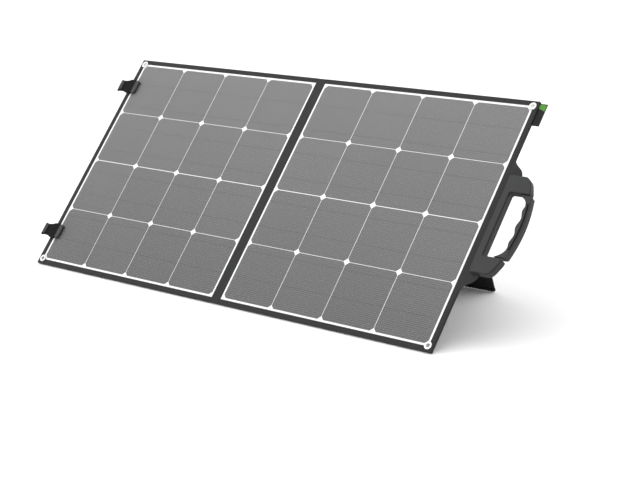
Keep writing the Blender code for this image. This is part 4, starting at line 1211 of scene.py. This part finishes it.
def centred(left, right, v, half, radius):
    """A rounded rectangle that reaches half its width to either side of v."""
    return rounded_box(left, v - half, right, v + half, radius)


def latch(word, v):
    """A rubber strap in two lengths, its fixed end, the mount that holds it and the keeper it closes on."""
    prefix = "latch_" + word + "_"
    root, tip = prefix + "root", prefix + "tip"
    middle = LATCH_ROOT_LENGTH
    whole = middle + LATCH_TIP_LENGTH
    bend = -LATCH_ROOT_U - middle
    for name, start, end, steps, bodies, u, reach in (
        ("neck", -0.0020, middle / 2, 24, ("left_panel", root), -LATCH_ROOT_U - 0.0010, 0.0025),
        ("strap", middle / 2, whole, 40, (root, tip), bend, 0.0030),
    ):
        strip = ribbon(strap_rows(v, start, end, steps), 0.0011, 4)
        strip = piece(prefix + name, strip, "rubber", None, [bodies[1]])
        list(bodies)
        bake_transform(strip)
    left, right = -LATCH_ROOT_U - whole + 0.001, bend - 0.0045
    pad = centred(left, right, v, HOOKS_HALF, 0.0015)
    piece(prefix + "hooks", plain_slab([pad], *HOOKS_LAYER, 0.0002, 0.0006), "pile", tip,
          [prefix + "hook_pad"])
    base = centred(-LATCH_ROOT_U + HEM_GAP, -LATCH_BASE_END, v, LATCH_BASE_HALF, 0.0030)
    base = plain_slab([base], *LATCH_BASE_LAYER, 0.0003, 0.0012, 5)
    piece(prefix + "anchor", base, "rubber", "left_panel", [prefix + "base"])
    block = rectangle(-MOUNT_U[1], v - MOUNT_HALF, -MOUNT_U[0], v + MOUNT_HALF)
    meshes = [plain_slab([rounded(block, [0.002, 0.005, 0.005, 0.002])], *MOUNT_LAYER, 0.0003, 0.0010, 5)]
    tongue = rectangle(-TONGUE_U[1], v - TONGUE_HALF, -TONGUE_U[0], v + TONGUE_HALF)
    meshes.append(plain_slab([tongue], *TONGUE_LAYER))
    for d in (-RIVET_SPREAD, RIVET_SPREAD):
        meshes.append(turned(RIVET_HEAD, Matrix.Translation((-RIVET_U, v + d, 0.0)), 24))
    piece(prefix + "clamp", joined(meshes), "clamp", "left_panel", [prefix + "plate"])
    keeper = centred(*KEEPER_U, v, KEEPER_HALF, 0.0015)
    piece(prefix + "loops", plain_slab([keeper], *PATCH, 0.0005, 0.0002), "pile", "right_panel",
          [prefix + "keeper"])


# Junction box, pocket and tag


def junction_box():
    """A tray, a ribbed lid and the gland's nut."""
    u, v = BOX_CENTRE
    half_u, half_v = BOX_SIZE[0] / 2, BOX_SIZE[1] / 2
    outer = rounded_box(u - half_u, v - half_v, u + half_u, v + half_v, 0.005)
    lid = [plain_slab([outer], *LID_LAYER, 0.0012, 0.0003, 5)]
    for k in range(7):
        lid.append(box_at((u - 0.024 + 0.008 * k, v, LID_LAYER[0]), (0.0022, 0.044, 0.0014), bevel=0.0005))
    piece("box_lid", joined(lid), "box", "left_panel", ["junction_box_lid"])
    in_u, in_v = half_u - BOX_WALL, half_v - BOX_WALL
    inner = rectangle(u - in_u, v - in_v, u + in_u, v + in_v)
    tray = [slab([outer, inner], edge_profile(*TRAY_LAYER, 0.0003, 0.0003)),
            plain_slab([outer], *FLANGE_LAYER, 0.0003, 0.0008)]
    piece("box_tray", joined(tray), "box", "left_panel", ["junction_box_base"])
    place = Matrix.Translation((u, v - half_v, GLAND_W)) @ Matrix.Rotation(math.pi / 2, 4, "X")
    meshes = [turned(GLAND_PROFILE, place)]
    for x, y in circle((0.0, 0.0), 0.0061, 12):
        meshes.append(box_at((x, y, 0.0076), (0.0009, 0.0009, 0.0062), place, 0.0002))
    piece("gland_nut", joined(meshes), "box", "left_panel", ["cable_gland"])


def pocket():
    """A slack cloth pocket and its hem."""
    left, right = POCKET_U
    low, high = POCKET_V
    slack = ripple(0.045, 0.0011, 21.0)

    def level(u, v):
        edge = min(u - left, right - u, v - low, high - v)
        swell = math.sin(ease(edge, 0.022) * math.pi / 2)
        sag = 0.75 + 0.25 * (high - v) / (high - low)
        return -0.0070 - (0.0042 * sag + max(-0.0009, min(0.0009, slack(u, v)))) * swell

    pouch = grid_panel(left, low, right, high, 56, 90, level, lambda u, v: PATCH[1])
    pouch = piece("pocket_pouch", pouch, "pocket", "left_panel", ["cable_pocket"])
    hem = [rounded_box(left + d, low + d, right - d, high - d, 0.002) for d in (0.0, POCKET_HEM)]
    piece("pocket_hem", plain_slab(hem, HEM_BACK, PATCH[1], 0.0005, 0.0002), "binding", "left_panel")
    x0, x1, y0, y1 = left + 0.003, right - 0.003, low + 0.003, high - 0.003
    line = seam([(x0, y1), (x0, y0), (x1, y0), (x1, y1)], HEM_BACK - 0.0001)
    sew("pocket_seam", line, "left_panel", -1.0)
    zip_fastener(left, right, high)


def zip_fastener(left, right, low):
    """The zip's tape and teeth above the pocket, and its slider with a pull."""
    tape = rounded_box(left, low + 0.0004, right, ZIP_V, 0.001)
    piece("zip_tape", plain_slab([tape], ZIP_BACK, PATCH[1], 0.0003, 0.0002), "webbing", "left_panel")
    teeth = []
    for k in range(int((right - left - 0.012) / TOOTH_PITCH)):
        shift = 0.0005 if k % 2 else -0.0005
        place = (left + 0.006 + TOOTH_PITCH * k, SLIDER_V + shift, -0.0076)
        teeth.append(box_at(place, (0.0015, 0.0030, 0.0009), bevel=0.0003))
    piece("zip_teeth", joined(teeth), "box", "left_panel")
    x, y = SLIDER_U, SLIDER_V
    body = [(x - 0.0045, y - 0.0040), (x + 0.0045, y - 0.0030), (x + 0.0045, y + 0.0030),
            (x - 0.0045, y + 0.0040)]
    pull = [rounded_box(x - 0.0035, y - 0.0150, x + 0.0035, y - 0.0010, 0.0022),
            rounded_box(x - 0.0016, y - 0.0135, x + 0.0016, y - 0.0085, 0.0012)]
    meshes = [plain_slab([rounded(body, [0.001] * 4, 4)], *SLIDER_LAYER, 0.0006, 0.0004, 4),
              plain_slab(pull, *PULL_LAYER, 0.0003, 0.0003)]
    piece("slider", joined(meshes), "steel", "zip_slider", ["zip_slider"])


def edge_tag():
    """A tag folded double, sewn into the seam at its two ends."""
    half, middle = (TAG_V[1] - TAG_V[0]) / 2, (TAG_V[1] + TAG_V[0]) / 2
    root, bow, reach = HALF_WIDTH - 0.001, HALF_WIDTH + 0.006, HALF_WIDTH + TAG_REACH
    path = [(root, -0.00265), (bow, -0.0025), (reach - 0.002, -0.00255)]
    path += arc((reach - 0.0012, -0.0031), 0.00062, 80, -80, 8)
    path += [(reach - 0.002, -0.00365), (bow, -0.0037), (root, -0.00355)]
    rows = []
    for i, (u, w) in enumerate(path):
        before, after = path[max(0, i - 1)], path[min(len(path) - 1, i + 1)]
        tangent = Vector((after[0] - before[0], 0.0, after[1] - before[1])).normalized()
        rows.append((Vector((u, middle, w)), ALONG_V, tangent.cross(ALONG_V), half, 0.0002))
    tag = piece("folded_tag", ribbon(rows, 0.00015), "tag", "right_panel", ["edge_tag"])


def dress_cad():
    """Finishes for the frame's own pieces that show or stand behind others."""
    looks = {
        "handle_back_shell": "cad_plastic",
        "terminal_block": "cad_box",
        "junction_box_seal": "cad_seal",
        "grip_upper_pivot_pin": "cad_steel",
        "grip_lower_pivot_pin": "cad_steel",
    }
    for number in range(1, 5):
        looks[f"handle_screw_{number}"] = "cad_steel"
    for word in ("right", "left"):
        looks[word + "_stiffener_board"] = "cad_board"
        looks[word + "_kickstand_board"] = "cad_board"
        looks[word + "_flat_cable"] = "cad_cable"
    for name, look in looks.items():
        mesh = frame["nodes"][name].data
        mesh.materials.clear()
        mesh.materials.append(LOOKS[look])


# Studio


def surround(tree):
    """The white surround falls off a little to the right, so that ends which face that way are in shade."""
    place = tree.nodes.new("ShaderNodeTexCoord")
    facing = tree.nodes.new("ShaderNodeVectorMath")
    facing.operation = "DOT_PRODUCT"
    facing.inputs[1].default_value = (0.95, 0.30, 0.0)
    ramp = tree.nodes.new("ShaderNodeMapRange")
    for name, value in (("From Min", 0.30), ("From Max", 0.90), ("To Min", 1.50), ("To Max", 0.45)):
        ramp.inputs[name].default_value = value
    tree.links.new(place.outputs["Generated"], facing.inputs[0])
    tree.links.new(facing.outputs["Value"], ramp.inputs["Value"])
    tree.links.new(ramp.outputs["Result"], tree.nodes["Background"].inputs["Strength"])


def studio():
    """A pale floor, a white surround, a broad key light from the upper left and a weak fill."""
    work = bmesh.new()
    bmesh.ops.create_grid(work, x_segments=2, y_segments=2, size=9.0)
    floor_mesh = bpy.data.meshes.new("floor")
    work.to_mesh(floor_mesh)
    work.free()
    floor = put("floor", floor_mesh)
    floor.location.z = -0.0004
    paint = Look("floor_paint", (0.93, 0.93, 0.93), 0.9, source="Object")
    paint.shade(paint.noise(6.0), 0.995, 1.0)
    paint.set("Specular IOR Level", 0.0)
    floor_mesh.materials.append(paint.material)
    world = bpy.data.worlds.new("surround")
    world.use_nodes = True
    world.node_tree.nodes["Background"].inputs["Color"].default_value = (1.0, 1.0, 1.0, 1.0)
    surround(world.node_tree)
    bpy.context.scene.world = world
    for name, place, size, power in (
        ("key", (-1.6, -2.6, 2.6), 1.6, 6.0),
        ("top", (0.6, -0.3, 3.2), 2.2, 6.0),
    ):
        light = bpy.data.lights.new(name, "AREA")
        light.shape = "DISK"
        light.size = size
        light.energy = power
        lamp = put(name, light)
        lamp.location = place
        lamp.rotation_euler = (Vector((0.0, 0.0, 0.15)) - Vector(place)).to_track_quat("-Z", "Y").to_euler()


def camera():
    """The photograph's view, found from the cells' grid."""
    data = bpy.data.cameras.new("camera")
    data.lens = 91.77
    data.sensor_width = 36.0
    data.clip_end = 100.0
    view = put("camera", data)
    view.location = (2.1916 + ORIGIN.x, -2.2729 + ORIGIN.y, 0.84735)
    view.rotation_euler = (math.radians(77.23), 0.0, math.radians(40.12))
    bpy.context.scene.camera = view
    bpy.context.scene.view_settings.view_transform = "Standard"


make_looks()
for SIDE in (1, -1):
    PREFIX = half_name(SIDE) + "_"
    BODY = PREFIX + "panel"
    front_border(PREFIX, SIDE, BODY)
    laminate(PREFIX, SIDE, BODY)
    back_panel(PREFIX, SIDE, BODY)
    eyelets(PREFIX, SIDE, BODY)
    kickstand(SIDE)
fold_band()
bracket()
grip()
for NAME, HEIGHT_V in LATCH_PLACES.items():
    latch(NAME, HEIGHT_V)
junction_box()
pocket()
edge_tag()
dress_cad()
studio()
camera()
